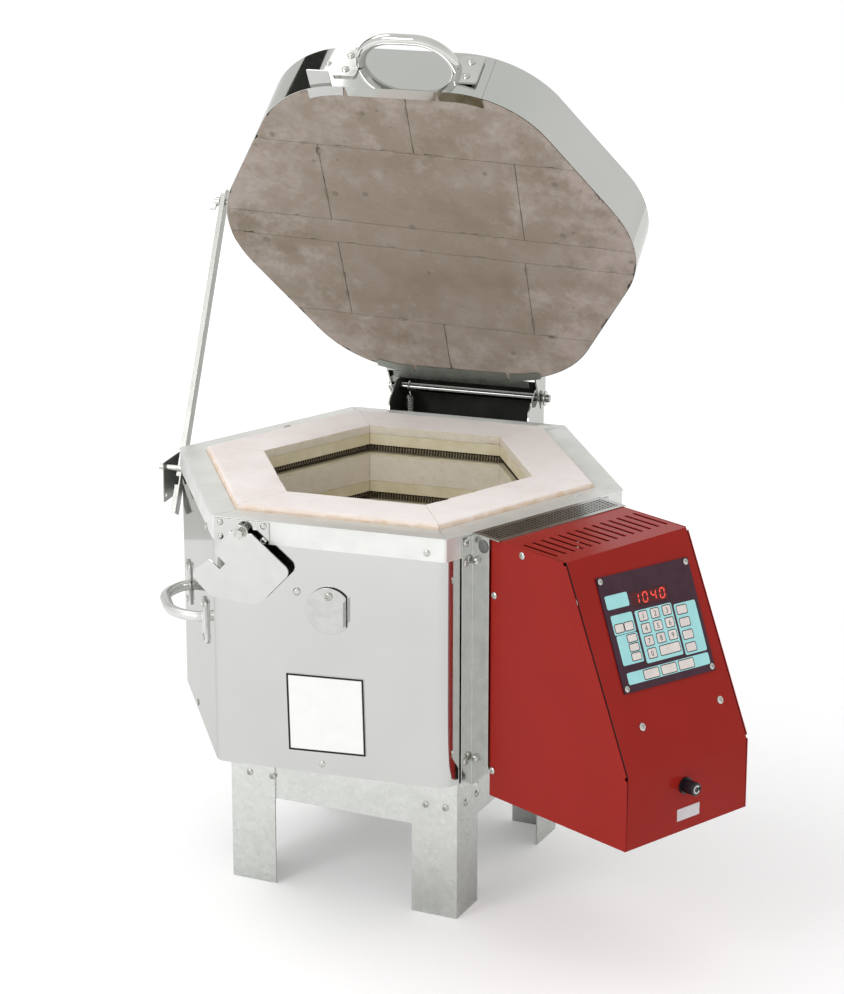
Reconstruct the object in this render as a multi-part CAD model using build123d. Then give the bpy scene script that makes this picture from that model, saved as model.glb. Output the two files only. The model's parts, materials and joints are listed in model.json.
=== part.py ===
from build123d import *
import math
import os

os.makedirs("parts", exist_ok=True)

# Small six-sided test kiln, in millimetres, +Z up. The origin is the middle of the chamber floor.
# The front face looks along -Y. Features on other faces are drawn on the front and turned into place.
SHEET = 1.0
COURSE = 114.3
CHAMBER_H = 2 * COURSE
BRICK_OUT = 198.0
BRICK_IN = 137.0
JACKET = 225.0
JACKET_R = 16.0
RIM_Z = CHAMBER_H - 6.0
RIM_OVER = 2.2
BODY_BOTTOM = -58.0
SLAB = 57.0
GROUND = -241.0

ROW_PITCH = 57.15
ROW_TOP = CHAMBER_H - 10.0
HOLDER_H = 26.0
HOLDER_DEPTH = 20.0
COIL_R = 4.5
COIL_Z = ROW_TOP - 18.5
COIL_OFF = BRICK_IN + 7.0
TAIL_X = (-22.0, 22.0)
PEEP_Z = 125.6

HINGE_Y = 268.0
HINGE_Z = CHAMBER_H + 12.8
LID_OPEN = 57.4
LID_Z = CHAMBER_H + 0.4
LID_T = 63.5
LID_R = 120.0
ROD_R = 4.75
CHEEK_X = 87.0
EAR_X = 91.0

STAND_YAW = -7.0
STAND_HALF = 140.0
LEG_W = 55.0
RAIL_H = 80.0

BOX_HALF = 90.5
BOX_BACK = 252.6
BOX_TOP_D = 362.3
BOX_FRONT = 456.8
BOX_TOP_Z = 221.6
BOX_KNEE_Z = 12.6
BOX_BOTTOM_Z = -67.0
PAINTED = 1.2

LATCH_X = -95.3
LATCH_Z = 209.7
HOOK_BACK = 9.3
PIN_Y = 6.0
PIN_Z = CHAMBER_H - 32.5
PROP_X = -266.0
PROP_Y = 13.3
PROP_Z = LID_Z + 48.5
ARM_LEN = 371.0


# The row origin is on the floor, under the middle of the overall size.
ORIGIN = Pos(-75.9, 7.4, -GROUND)


def save(name, *shapes):
    solids = []
    for shape in shapes:
        solids += (ORIGIN * shape).solids()
    export_step(Compound(children=solids), f"parts/{name}.step")


def block(x0, x1, y0, y1, z0, z1):
    middle = ((x0 + x1) / 2, (y0 + y1) / 2, (z0 + z1) / 2)
    return Pos(*middle) * Box(x1 - x0, y1 - y0, z1 - z0)


def rod(start, end, radius):
    a = Vector(*start)
    b = Vector(*end)
    disc = Plane(origin=a, z_dir=b - a) * Circle(radius)
    return extrude(disc, (b - a).length)


def stud(start, end, radius):
    # six-sided stand-in for a thin round shank or a hidden hole
    a = Vector(*start)
    b = Vector(*end)
    return extrude(Plane(origin=a, z_dir=b - a) * RegularPolygon(radius, 6), (b - a).length)


def tube(start, end, radius, bore):
    return rod(start, end, radius) - rod(start, end, bore)


def drilled(shape, tools):
    # screws and pins pass through the sheets they clamp
    for tool in tools:
        shape -= tool
    return shape


def hexagon(half, z0, z1, corner=0.0):
    outline = RegularPolygon(half, 6, major_radius=False)
    if corner:
        outline = fillet(outline.vertices(), corner)
    return Pos(0, 0, z0) * extrude(outline, z1 - z0)


def hex_ring(outer, inner, z0, z1, r_out=0.0, r_in=0.0):
    return hexagon(outer, z0, z1, r_out) - hexagon(inner, z0 - 1, z1 + 1, r_in)


def wedge(k, gap):
    # one sixth of the circle around face k, with a thin joint left on both sides
    reach = 400.0
    side = math.tan(math.radians(30)) * reach
    outline = Polygon((0, 0), (-side, -reach), (side, -reach), align=None)
    piece = Pos(0, -gap, -300) * extrude(outline, 900)
    return Rot(0, 0, 60 * k) * piece


def on_face(k, shape):
    # k = 0 front, 1 right front, -1 left front
    return Rot(0, 0, 60 * k) * shape


def profile(points, x0, x1):
    # a side view given as (y, z) points, made x1 - x0 thick
    outline = Plane.YZ * Polygon(*points, align=None)
    return Pos(x0, 0, 0) * extrude(outline, x1 - x0)


def screw(x, y, z, head, tall, shank, long):
    # pan head standing on the plane y, facing -Y, shank going in
    body = rod((x, y - tall, z), (x, y, z), head)
    return body + stud((x, y, z), (x, y + long, z), shank)


row_z = [ROW_TOP - ROW_PITCH * i for i in range(4)]
coil_z = [COIL_Z - ROW_PITCH * i for i in range(4)]

# Holes that run from the chamber through wall, insulation and jacket.
HIDDEN_HOLE = 5.7
tail_holes = []
for z in coil_z:
    for x in TAIL_X:
        tail_holes.append(on_face(1, stud((x, -BRICK_IN - 12, z), (x, -JACKET - 6, z), HIDDEN_HOLE)))
sensor_hole = on_face(1, stud((0, -BRICK_IN + 5, PEEP_Z), (0, -JACKET - 6, PEEP_Z), HIDDEN_HOLE))
peep_hole = rod((0, -BRICK_IN + 5, PEEP_Z), (0, -JACKET - 6, PEEP_Z), 8.0)
through_holes = tail_holes + [sensor_hole, peep_hole]


# Brick wall: two courses of six mitred bricks, with grooves for the element holders.
grooves = []
for z in row_z:
    grooves.append(hex_ring(BRICK_IN + HOLDER_DEPTH, BRICK_IN - 5, z - HOLDER_H, z))


def bevelled_ring(z0, z1, bevel):
    # the worn outer edge of the top course
    base = Pos(0, 0, z1 - bevel) * RegularPolygon(BRICK_OUT, 6, major_radius=False)
    crown = Pos(0, 0, z1) * RegularPolygon(BRICK_OUT - bevel, 6, major_radius=False)
    solid = hexagon(BRICK_OUT, z0, z1 - bevel) + loft([base, crown])
    return solid - hexagon(BRICK_IN, z0 - 1, z1 + 1)


def course(ring, rows):
    ring = drilled(ring, [grooves[i] for i in rows] + through_holes)
    return [ring & wedge(k, 0.35) for k in range(6)]


save("wall_bricks_upper", *course(bevelled_ring(COURSE, CHAMBER_H, 3.5), (0, 1)))
save("wall_bricks_lower", *course(hex_ring(BRICK_OUT, BRICK_IN, 0, COURSE), (2, 3)))

floor_slab = hexagon(BRICK_OUT, -SLAB, 0)
save("floor_slab", floor_slab)

# Ceramic element holders: a trough with a tall upper lip, one per brick face and row.
holders = []
for z in row_z:
    ring = hex_ring(BRICK_IN + HOLDER_DEPTH, BRICK_IN + 0.2, z - HOLDER_H + 0.2, z - 0.2)
    trough = hex_ring(BRICK_IN + 14, BRICK_IN - 5, z - 24.0, z - 13.0)
    ring = drilled(ring - trough, through_holes)
    holders += [ring & wedge(k, 0.5) for k in range(6)]
save("element_holders", *holders)

# Heating coils drawn as plain hexagonal loops. The gap for the two tails is at the wiring side.
coils = []
for z in coil_z:
    corners = []
    for k in range(6):
        angle = math.radians(60 * k)
        corners.append((COIL_OFF / math.cos(math.radians(30)) * math.cos(angle),
                        COIL_OFF / math.cos(math.radians(30)) * math.sin(angle)))
    loop = Polygon(*corners, align=None)
    outer = offset(loop, COIL_R, kind=Kind.ARC)
    inner = offset(loop, -COIL_R)
    ring = Pos(0, 0, z - COIL_R) * extrude(outer - inner, 2 * COIL_R)
    gap = on_face(1, block(-14, 14, -COIL_OFF - 8, -COIL_OFF + 8, z - 8, z + 8))
    coils.append(ring - gap)
save("heating_coils", *coils)

tails = []
bushings = []
for z in coil_z:
    for x in TAIL_X:
        inner = (x, -BRICK_IN - 22, z)
        outer = (x, -JACKET - 5, z)
        tails.append(on_face(1, stud((x, -COIL_OFF - COIL_R - 0.1, z), (x, -JACKET - 17, z), 1.8)))
        bushings.append(on_face(1, rod(inner, outer, 4.8) - stud(inner, outer, 1.9)))
save("element_tails", *tails)
save("tail_bushings", *bushings)

sensor = on_face(1, rod((0, -BRICK_IN + 25, PEEP_Z), (0, -JACKET - 8, PEEP_Z), 4.0))
sensor_head = on_face(1, block(-14, 14, -JACKET - 18, -JACKET - 8.2, PEEP_Z - 8, PEEP_Z + 8))
save("thermocouple", sensor, sensor_head)

# Screws and rivets that show on the jacket.
jacket_screws = [
    screw(110, -JACKET - 1.15, 205.3, 3.6, 1.6, 1.6, 3),
    screw(-9, -JACKET - 0.05, -47, 3.6, 1.6, 1.6, 4),
    screw(-35.8, -JACKET - 0.05, 147, 4.2, 2.6, 1.6, 4),
    on_face(-1, screw(86, -JACKET - 1.15, 197, 4.2, 2.2, 1.6, 3)),
    on_face(-1, screw(-29, -JACKET - 0.05, -50, 3.8, 1.8, 1.6, 4)),
]
save("jacket_screws", *jacket_screws)

# Square stand: four legs of folded angle and four rails, turned a little under the body.
LEG_T = 1.8
RAIL_T = 1.6
corner = -STAND_HALF
leg = block(corner, corner + LEG_W, corner, corner + LEG_T, GROUND, BODY_BOTTOM)
leg += block(corner, corner + LEG_T, corner, corner + LEG_W, GROUND, BODY_BOTTOM)
rail_y = -STAND_HALF + LEG_T + 0.05
reach = STAND_HALF - 8
rail = block(-reach, reach, rail_y, rail_y + RAIL_T, BODY_BOTTOM - RAIL_H, BODY_BOTTOM)
rail += block(-reach + 26, reach - 26, rail_y, rail_y + 24, BODY_BOTTOM - RAIL_T, BODY_BOTTOM)
rail_screws = []
for x in (-116.5, -88.0, 102.0, 126.0):
    rail_screws.append(screw(x, -STAND_HALF - 0.02, BODY_BOTTOM - 53, 4.0, 1.9, 1.9, 7))
rail = drilled(rail, rail_screws)
legs = []
rails = []
stand_screws = []
for turn in (0, 90, 180, 270):
    spin = Rot(0, 0, STAND_YAW + turn)
    rails.append(spin * rail)
    stand_screws += [spin * item for item in rail_screws]
for turn in (0, 90, 180, 270):
    legs.append(drilled(Rot(0, 0, STAND_YAW + turn) * leg, stand_screws))
save("stand_legs", *legs)
save("stand_rails", *rails)
save("stand_screws", *stand_screws)

# Latch: base plate with four screws, a bolt standing out, and the swinging hook plate.
base_y = -JACKET - 1.15
hook_y = -JACKET - HOOK_BACK - 2.0
base_screws = []
for x in (-121.0, -71.7):
    for z in (201.0, 217.0):
        base_screws.append(screw(x, base_y - 1.55, z, 3.4, 2.0, 1.6, 6))
save("latch_base_screws", *base_screws)
latch_bolt = rod((LATCH_X, hook_y - 6.0, LATCH_Z), (LATCH_X, base_y - 1.55, LATCH_Z), 3.15)
latch_bolt += rod((LATCH_X, hook_y - 1.7, LATCH_Z), (LATCH_X, hook_y - 0.3, LATCH_Z), 7.0)
head_plane = Plane(origin=(LATCH_X, hook_y - 6.0, LATCH_Z), z_dir=(0, 1, 0))
latch_bolt += extrude(head_plane * RegularPolygon(5.4, 6), 4.2)
latch_bolt += rod((LATCH_X, -JACKET - HOOK_BACK + 0.3, LATCH_Z), (LATCH_X, base_y - 1.55, LATCH_Z), 5.6)
save("latch_bolt", latch_bolt)
latch_base = block(-128.4, -65.5, base_y - 1.5, base_y, 197.2, RIM_Z - 1.3)
save("latch_base", drilled(latch_base, base_screws))

hook_corners = [(-101.4, 217.4), (-124.0, 190.5), (-124.0, 184.1), (-112.7, 173.7), (-118.8, 166.8),
                (-131.4, 176.9), (-146.0, 166.1), (-152.6, 157.4), (-130.8, 135.4), (-76.6, 129.6),
                (-37.4, 171.5), (-90.0, 216.5)]
hook_round = [0, 0, 0, 0, 0, 0, 3, 9, 5, 16, 9, 0]
hook_face = Plane.XZ * Polygon(*hook_corners, align=None)
for (x, z), radius in zip(hook_corners, hook_round):
    if radius:
        corner = hook_face.vertices().sort_by_distance((x, 0, z))[0]
        hook_face = fillet(corner, radius)
hook = Pos(0, hook_y + 2.0, 0) * extrude(hook_face, 2.0)
hook -= block(-140, -60, hook_y - 5, hook_y + 5, LATCH_Z, LATCH_Z + 20)
hook += rod((LATCH_X, hook_y, LATCH_Z), (LATCH_X, hook_y + 2.0, LATCH_Z), 8.7)
hook -= rod((LATCH_X, hook_y - 3, LATCH_Z), (LATCH_X, hook_y + 5, LATCH_Z), 3.2)
save("latch_hook", hook)


# Lifting handles: a bowed tube on two pads, with two screws in each pad.
HANDLE_OUT = 40.0
BOW_HALF = 55.0
BOW_R = 43.0
TUBE_R = 6.0
PAD_HALF = 13.5
PAD_T = 2.6


def handle(y, half, pad):
    path = FilletPolyline((-BOW_HALF, y - 1.0, 0), (-BOW_HALF + 6, y - HANDLE_OUT, 0),
                          (BOW_HALF - 6, y - HANDLE_OUT, 0), (BOW_HALF, y - 1.0, 0), radius=BOW_R)
    grip = sweep(Plane(origin=path @ 0, z_dir=path % 0) * Circle(TUBE_R), path=path)
    for x in (-half, half):
        plate = block(x - PAD_HALF, x + PAD_HALF, y - PAD_T, y - 0.1, -pad, pad)
        grip += fillet(plate.edges().filter_by(Axis.Y), 3.0)
    grip -= block(-half - 20, half + 20, y - 0.1, y + 20, -pad, pad)
    return grip


def handle_screws(y, half, pitch):
    found = []
    for x in (-half, half):
        for z in (-pitch / 2, pitch / 2):
            found.append(screw(x, y - PAD_T - 0.05, z, 4.2, 2.2, 2.0, 5.6))
    return found


SIDE_PITCH = 66.0
side_place = Pos(-11.0, 0, 78.6)
side_screws = [on_face(-1, side_place * item) for item in handle_screws(-JACKET, SIDE_PITCH, 38.9)]
side_handle = on_face(-1, side_place * handle(-JACKET, SIDE_PITCH, 24.0))
save("side_handle", drilled(side_handle, side_screws))
save("side_handle_screws", *side_screws)

# Guide for the lid prop at the left corner: flange on the jacket, web, ear, and the guide pin.
GUIDE_LOW = CHAMBER_H - 73
GUIDE_HIGH = CHAMBER_H - 26
guide_y = -JACKET - 1.3
guide = on_face(-2, block(64, 100, guide_y - 1.2, guide_y, GUIDE_LOW, GUIDE_HIGH))
guide += on_face(-2, block(98.8, 100, guide_y - 40.8, guide_y, GUIDE_LOW, GUIDE_HIGH))
guide += block(-282.2, -281, -1.5, 47.2, GUIDE_LOW, GUIDE_HIGH)
guide -= rod((-290, 4.5, GUIDE_LOW + 7), (-270, 4.5, GUIDE_LOW + 7), 2.6)
pin = rod((-289, PIN_Y, PIN_Z), (-253.5, PIN_Y, PIN_Z), 3.2)
pin += rod((-284.4, PIN_Y, PIN_Z), (-282.3, PIN_Y, PIN_Z), 4.6)
save("prop_pin", pin)
guide_screws = []
for z in (GUIDE_LOW + 11, GUIDE_HIGH - 11):
    guide_screws.append(on_face(-2, screw(76, guide_y - 1.25, z, 4.2, 2.2, 1.9, 6)))
save("prop_guide", drilled(guide, [pin] + guide_screws))

# Hinge: a tall folded housing on the back face, a rod through its cheeks, and one return spring inside.
HOUSING_BACK = 292.0
HOUSING_LOW = -46.0
HOUSING_TOP = HINGE_Z + 11
back_y = JACKET + 0.15
hinge_rod = rod((-99, HINGE_Y, HINGE_Z), (101, HINGE_Y, HINGE_Z), ROD_R)
save("hinge_rod", hinge_rod)
housing = block(-CHEEK_X, CHEEK_X, HOUSING_BACK - 1.2, HOUSING_BACK, HOUSING_LOW, HOUSING_TOP - 14)
housing += block(-CHEEK_X, CHEEK_X, back_y, HOUSING_BACK, HOUSING_LOW, HOUSING_LOW + 1.2)
rim_edge = JACKET + RIM_OVER + 0.3
cheek = [(back_y + 1, HOUSING_LOW), (HOUSING_BACK, HOUSING_LOW), (HOUSING_BACK, HOUSING_TOP - 14),
         (282, HOUSING_TOP), (256, HOUSING_TOP), (rim_edge, RIM_Z + 10), (rim_edge, RIM_Z - 10),
         (back_y + 1, RIM_Z - 20)]
housing += profile(cheek, -CHEEK_X, -CHEEK_X + 1.5)
housing += profile(cheek, CHEEK_X - 1.5, CHEEK_X)
for x0, x1 in ((-CHEEK_X - 16, -CHEEK_X + 1.5), (CHEEK_X - 1.5, CHEEK_X + 16)):
    housing += block(x0, x1, back_y, back_y + 1.2, HOUSING_LOW, RIM_Z - 27)
hinge_screws = []
for x in (-CHEEK_X - 9, CHEEK_X + 9):
    for z in (-25, 80, 180):
        hinge_screws.append(Rot(0, 0, 180) * screw(x, -back_y - 1.25, z, 4.2, 2.0, 1.8, 5))
save("hinge_screws", *hinge_screws)
housing = drilled(housing, hinge_screws)
housing -= rod((-100, HINGE_Y, HINGE_Z), (100, HINGE_Y, HINGE_Z), ROD_R + 0.02)
save("hinge_housing", housing)
push_nuts = []
for x0, x1 in ((-96.2, -94.6), (94.8, 96.4)):
    push_nuts.append(tube((x0, HINGE_Y, HINGE_Z), (x1, HINGE_Y, HINGE_Z), 9.0, ROD_R))
save("hinge_push_nuts", *push_nuts)

# One spring pulls the rod down in the cheeks. It hooks over the rod and over a bar at the foot.
SPRING_X = -74.0
SPRING_LOW = -28.0
SPRING_HIGH = HINGE_Z - 12.4
spring = tube((SPRING_X, HINGE_Y, SPRING_LOW), (SPRING_X, HINGE_Y, SPRING_HIGH), 5.6, 4.4)
for z, bore in ((HINGE_Z, ROD_R + 0.05), (SPRING_LOW - 7.2, 2.05)):
    spring += tube((SPRING_X - 0.8, HINGE_Y, z), (SPRING_X + 0.8, HINGE_Y, z), bore + 1.6, bore)
spring += block(SPRING_X - 0.8, SPRING_X + 0.8, HINGE_Y - 5.2, HINGE_Y + 5.2, SPRING_HIGH - 1.6, SPRING_HIGH)
spring += block(SPRING_X - 0.8, SPRING_X + 0.8, HINGE_Y - 5.2, HINGE_Y + 5.2, SPRING_LOW, SPRING_LOW + 1.6)
spring += block(SPRING_X - 0.8, SPRING_X + 0.8, HINGE_Y - 0.8, HINGE_Y + 0.8, SPRING_LOW - 4, SPRING_LOW + 1)
spring += block(SPRING_X - 0.8, SPRING_X + 0.8, HINGE_Y - 0.8, HINGE_Y + 0.8, SPRING_HIGH - 1, HINGE_Z - 5.2)
save("hinge_spring", spring)
anchor_z = SPRING_LOW - 7.2
anchor = rod((-CHEEK_X + 1.6, HINGE_Y, anchor_z), (CHEEK_X - 1.6, HINGE_Y, anchor_z), 2.0)
save("spring_anchor", anchor)

# Peephole cover on its screw.
COVER_X = 0.8
COVER_Z = 129.4
COVER_R = 26.0
cover_y = -JACKET - 3.4
cover = rod((COVER_X, cover_y, COVER_Z), (COVER_X, cover_y + 1.6, COVER_Z), COVER_R)
cover -= block(COVER_X + 19.6, 60, cover_y - 1, cover_y + 3, COVER_Z - 40, COVER_Z + 40)
cover += block(COVER_X + 18.4, COVER_X + 19.6, cover_y - 8, cover_y + 1.6, COVER_Z - 13.5, COVER_Z + 13.5)
cover -= rod((COVER_X, cover_y - 3, COVER_Z + 16.7), (COVER_X, cover_y + 4, COVER_Z + 16.7), 2.15)
save("peephole_cover", cover)
peep_screw = screw(COVER_X, cover_y - 0.3, COVER_Z + 16.7, 4.6, 2.4, 2.1, 7.5)
washer = tube((COVER_X, -JACKET - 0.05, COVER_Z + 16.7), (COVER_X, cover_y + 1.9, COVER_Z + 16.7), 5.2, 2.1)
save("peephole_screw", peep_screw, washer)

label = Pos(-3.8, -JACKET - 0.7, 11.0) * Rot(0, -1.5, 0) * Box(88, 1.2, 88)
save("label_plate", label)

# Wiring channel between the jacket and the control box, with a perforated top.
CH_HALF = 93.5
CH_T = 1.2
flange_y = -JACKET - 1.3
channel_bolts = []
for sign in (-1, 1):
    for z in (213.0, 190.6, -33.2):
        bolt = screw(sign * (CH_HALF + 8.5), flange_y - CH_T - 0.05, z, 4.4, 2.4, 2.0, 6)
        channel_bolts.append(bolt)
    for z in (192.2, -30.3):
        neck = stud((sign * (CH_HALF - 6), -232.5, z), (sign * (CH_HALF + 1), -232.5, z), 2.0)
        neck += rod((sign * (CH_HALF + 0.02), -232.5, z), (sign * (CH_HALF + 3.4), -232.5, z), 4.6)
        channel_bolts.append(neck)
save("channel_bolts", *[on_face(1, item) for item in channel_bolts])
channel_walls = []
for sign in (-1, 1):
    x0, x1 = sorted((sign * CH_HALF, sign * (CH_HALF - CH_T)))
    f0, f1 = sorted((sign * (CH_HALF - CH_T), sign * (CH_HALF + 14.5)))
    wall_side = [(flange_y, BOX_TOP_Z - 0.1), (-267, BOX_TOP_Z - 0.1), (-267, 190), (-BOX_BACK, 176),
                 (-BOX_BACK, -42), (-237, -54), (-237, -62), (flange_y, -62)]
    piece = profile(wall_side, x0, x1) + block(f0, f1, flange_y - CH_T, flange_y, -62, BOX_TOP_Z - 2)
    piece -= rod((x0 - 2, -242, 211), (x1 + 2, -242, 211), 4.5)
    channel_walls.append(on_face(1, drilled(piece, channel_bolts)))
save("wiring_channel", *channel_walls)

grille_y = -JACKET - RIM_OVER - 0.2
grille = block(-CH_HALF, CH_HALF, -268, grille_y, BOX_TOP_Z, BOX_TOP_Z + 1.0)
for i in range(24):
    for y in (-241, -258):
        x = -83.0 + 7.2 * i
        grille -= block(x - 1.5, x + 1.5, y - 7, y + 7, BOX_TOP_Z - 2, BOX_TOP_Z + 2)
save("vent_grille", on_face(1, grille))

# Control box: side and bottom shell, and one bent sheet for top, sloping face and lower front.
side_view = [(-BOX_BACK, BOX_TOP_Z), (-BOX_TOP_D, BOX_TOP_Z), (-BOX_FRONT, BOX_KNEE_Z),
             (-BOX_FRONT, BOX_BOTTOM_Z), (-BOX_BACK, BOX_BOTTOM_Z)]
face_outer = profile(side_view, -BOX_HALF + 1.5, BOX_HALF - 1.5)
inner_view = [(-BOX_BACK + 5, BOX_TOP_Z - PAINTED), (-BOX_TOP_D + 0.8, BOX_TOP_Z - PAINTED),
              (-BOX_FRONT + PAINTED, BOX_KNEE_Z - 0.3), (-BOX_FRONT + PAINTED, BOX_BOTTOM_Z - 5),
              (-BOX_BACK + 5, BOX_BOTTOM_Z - 5)]
face_sheet = face_outer - profile(inner_view, -BOX_HALF, BOX_HALF)
for i in range(14):
    x = -80.0 + 12.4 * i
    face_sheet -= block(x - 1.9, x + 1.9, -341, -291, BOX_TOP_Z - 5, BOX_TOP_Z + 5)

BETA = math.degrees(math.atan2(BOX_FRONT - BOX_TOP_D, BOX_TOP_Z - BOX_KNEE_Z))
SLOPE = Location((0, -BOX_TOP_D, BOX_TOP_Z), (-BETA, 0, 0))
PAD_X = 7.0
PAD_S = 88.0
PAD_W = 133.0
PAD_H = 122.0
PAD_TURN = 2.5
pad_place = SLOPE * Pos(PAD_X, 0, -PAD_S) * Rot(0, PAD_TURN, 0)
face_sheet -= pad_place * Box(112, 12, 96)
fuse_place = Pos(-4.6, -BOX_FRONT, -16.2)
face_sheet -= fuse_place * rod((0, -4, 0), (0, 6, 0), 6.3)

shell = block(-BOX_HALF, BOX_HALF, -BOX_FRONT + 1.4, -BOX_BACK, BOX_BOTTOM_Z, BOX_BOTTOM_Z + PAINTED)
cheek_view = [(-BOX_BACK, BOX_TOP_Z - 0.1), (-BOX_TOP_D + 0.1, BOX_TOP_Z - 0.1),
              (-BOX_FRONT + 0.1, BOX_KNEE_Z), (-BOX_FRONT + 0.1, BOX_BOTTOM_Z),
              (-BOX_BACK, BOX_BOTTOM_Z)]
shell += profile(cheek_view, -BOX_HALF, -BOX_HALF + PAINTED)
shell += profile(cheek_view, BOX_HALF - PAINTED, BOX_HALF)
for x in (-BOX_HALF, BOX_HALF):
    for y, z in ((-BOX_TOP_D + 0.5, BOX_TOP_Z - 1.5), (-BOX_FRONT + 1, BOX_KNEE_Z)):
        shell -= rod((x - 4, y, z), (x + 4, y, z), 2.2)
box_screws = []
for sign in (-1, 1):
    for y, z in ((-258.3, 160.0), (-256.9, -37.7), (-300.0, 214.0)):
        item = stud((sign * (BOX_HALF - 4), y, z), (sign * (BOX_HALF + 1), y, z), 1.8)
        item += rod((sign * (BOX_HALF + 0.02), y, z), (sign * (BOX_HALF + 2.2), y, z), 4.0)
        box_screws.append(item)
for x in (-50.0, 66.0):
    box_screws.append(SLOPE * Pos(x, 0, -183.4) * screw(0, -0.02, 0, 4.2, 2.0, 1.8, 4))
save("box_screws", *[on_face(1, item) for item in box_screws])
save("box_shell", on_face(1, drilled(shell, box_screws)))
back_plate = block(-BOX_HALF + 1.3, BOX_HALF - 1.3, -BOX_BACK, -BOX_BACK + 1.1, BOX_BOTTOM_Z, BOX_TOP_Z - 2)
back_plate -= block(-40, 40, -BOX_BACK - 2, -BOX_BACK + 3, 10, 190)
for x0, x1 in ((-BOX_HALF + 1.3, -BOX_HALF + 2.5), (BOX_HALF - 2.5, BOX_HALF - 1.3)):
    back_plate += block(x0, x1, -BOX_BACK - 12, -BOX_BACK + 1.1, BOX_BOTTOM_Z + 2, BOX_TOP_Z - 2)
save("wiring_cover", on_face(1, drilled(back_plate, box_screws)))
save("box_face", on_face(1, drilled(face_sheet, box_screws)))

# Controller: printed keypad plate, display window, corner screws, and its board behind the opening.
pad_plate = Box(PAD_W, 1.6, PAD_H)
window = Pos(0.5, 0, 30.8) * Box(53, 4, 15.5)
pad_screws = []
for x in (-62, 62):
    for z in (-56.5, 56.5):
        pad_screws.append(pad_place * Pos(x, 0, z) * screw(0, -1.67, 0, 3.3, 1.9, 1.5, 1.6))
save("keypad_screws", *[on_face(1, item) for item in pad_screws])
pad = pad_place * Pos(0, -0.85, 0) * (pad_plate - window)
save("keypad_plate", on_face(1, drilled(pad, pad_screws)))
display = pad_place * Pos(0.5, -0.75, 30.8) * Box(52.6, 1.2, 15.1)
save("display", on_face(1, display))
board = pad_place * Pos(0, 14, 0) * Box(108, 1.6, 92)
parts_on_board = [pad_place * Pos(0.5, 8, 30.8) * Box(50, 10, 14),
                  pad_place * Pos(-30, 8.1, -10) * Box(22, 10, 22),
                  pad_place * Pos(25, 8.1, -14) * Box(30, 10, 12)]
for item in parts_on_board:
    board += item
save("controller_board", on_face(1, board))

transformer = block(-70, -18, -BOX_BACK - 46, -BOX_BACK - 0.2, -40, 8)
transformer += block(-78, -10, -BOX_BACK - 2.2, -BOX_BACK - 0.2, -40, 8)
save("transformer", on_face(1, transformer))
relays = []
for z in (130, 176):
    relays.append(on_face(1, block(46, 80, -BOX_BACK - 38, -BOX_BACK - 0.2, z, z + 36)))
save("relays", *relays)
terminals = block(44, 84, -BOX_BACK - 24, -BOX_BACK - 0.2, 0, 90)
for i in range(4):
    terminals -= block(50, 78, -BOX_BACK - 26, -BOX_BACK - 16, 8 + 21 * i, 20 + 21 * i)
save("terminal_block", on_face(1, terminals))

# Fuse holder: barrel with flange and nut, cartridge, and the turn-and-pull cap.
FUSE_R = 3.2
holder_body = rod((0, -2.6, 0), (0, -0.05, 0), 9.0)
holder_body += rod((0, -0.1, 0), (0, 34, 0), 6.2)
holder_body += rod((0, 1.3, 0), (0, 5.3, 0), 9.2)
holder_body -= rod((0, -5, 0), (0, 31, 0), 4.6)
save("fuse_holder", on_face(1, fuse_place * holder_body))
cap = rod((0, -19.5, 0), (0, -2.7, 0), 7.3)
cap += rod((0, -2.8, 0), (0, 4, 0), 4.5)
cap -= rod((0, -1.5, 0), (0, 10, 0), FUSE_R + 0.05)
cap -= block(-6, 6, -21, -18.6, -0.7, 0.7)
save("fuse_cap", on_face(1, fuse_place * cap))
cartridge = rod((0, -1.4, 0), (0, 30.5, 0), FUSE_R)
save("fuse_cartridge", on_face(1, fuse_place * cartridge))
rating = Pos(1.4, -BOX_FRONT - 0.35, -47.8) * Box(33, 0.6, 13.2)
save("rating_label", on_face(1, rating))

# Insulation, jacket, rim and bottom pan, with their holes. The insulation leaves room for screw ends.
SCREW_ROOM = 3.2
fixings = jacket_screws + base_screws + [peep_screw] + side_screws + guide_screws + hinge_screws
fixings += [on_face(1, item) for item in channel_bolts] + [pin]
insulation = hex_ring(JACKET - SHEET - SCREW_ROOM, BRICK_OUT + 0.3, BODY_BOTTOM + 1.2, RIM_Z - 1.2, 12.0)
save("backup_insulation", drilled(insulation, through_holes))
jacket = hex_ring(JACKET, JACKET - SHEET, BODY_BOTTOM, RIM_Z - 1.1, JACKET_R, JACKET_R - SHEET)
save("jacket", drilled(jacket, through_holes + fixings))
rim = hex_ring(JACKET + RIM_OVER, BRICK_OUT + 0.4, RIM_Z - 1.0, RIM_Z, 5.0)
for k in range(6):
    # the strip is notched at each corner, which leaves a seam in the top
    seam = block(BRICK_OUT, JACKET / math.cos(math.radians(30)) - 6, -0.4, 0.4, RIM_Z - 2, RIM_Z + 1)
    rim -= Rot(0, 0, 60 * k) * seam
rim += hex_ring(JACKET + 1.1, JACKET + 0.1, RIM_Z - 26, RIM_Z - 0.5, 5.0, 4.0)
for k, x in ((1, 79.0), (3, -110.0), (-2, -14.0)):
    # small lanced tabs bent up beside the brick
    rim += on_face(k, Pos(x, -209.0, RIM_Z + 0.9) * Rot(18, 0, 12) * Box(11, 1.0, 3.4))
save("rim_cap", drilled(rim, through_holes + fixings))
pan = hexagon(JACKET - SHEET - 0.3, BODY_BOTTOM, BODY_BOTTOM + 0.9, JACKET_R - 1.2)
save("bottom_pan", pan)

# Lid, drawn closed and then swung open about the hinge rod.
hinge_axis = Axis((0, HINGE_Y, HINGE_Z), (1, 0, 0))


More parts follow.
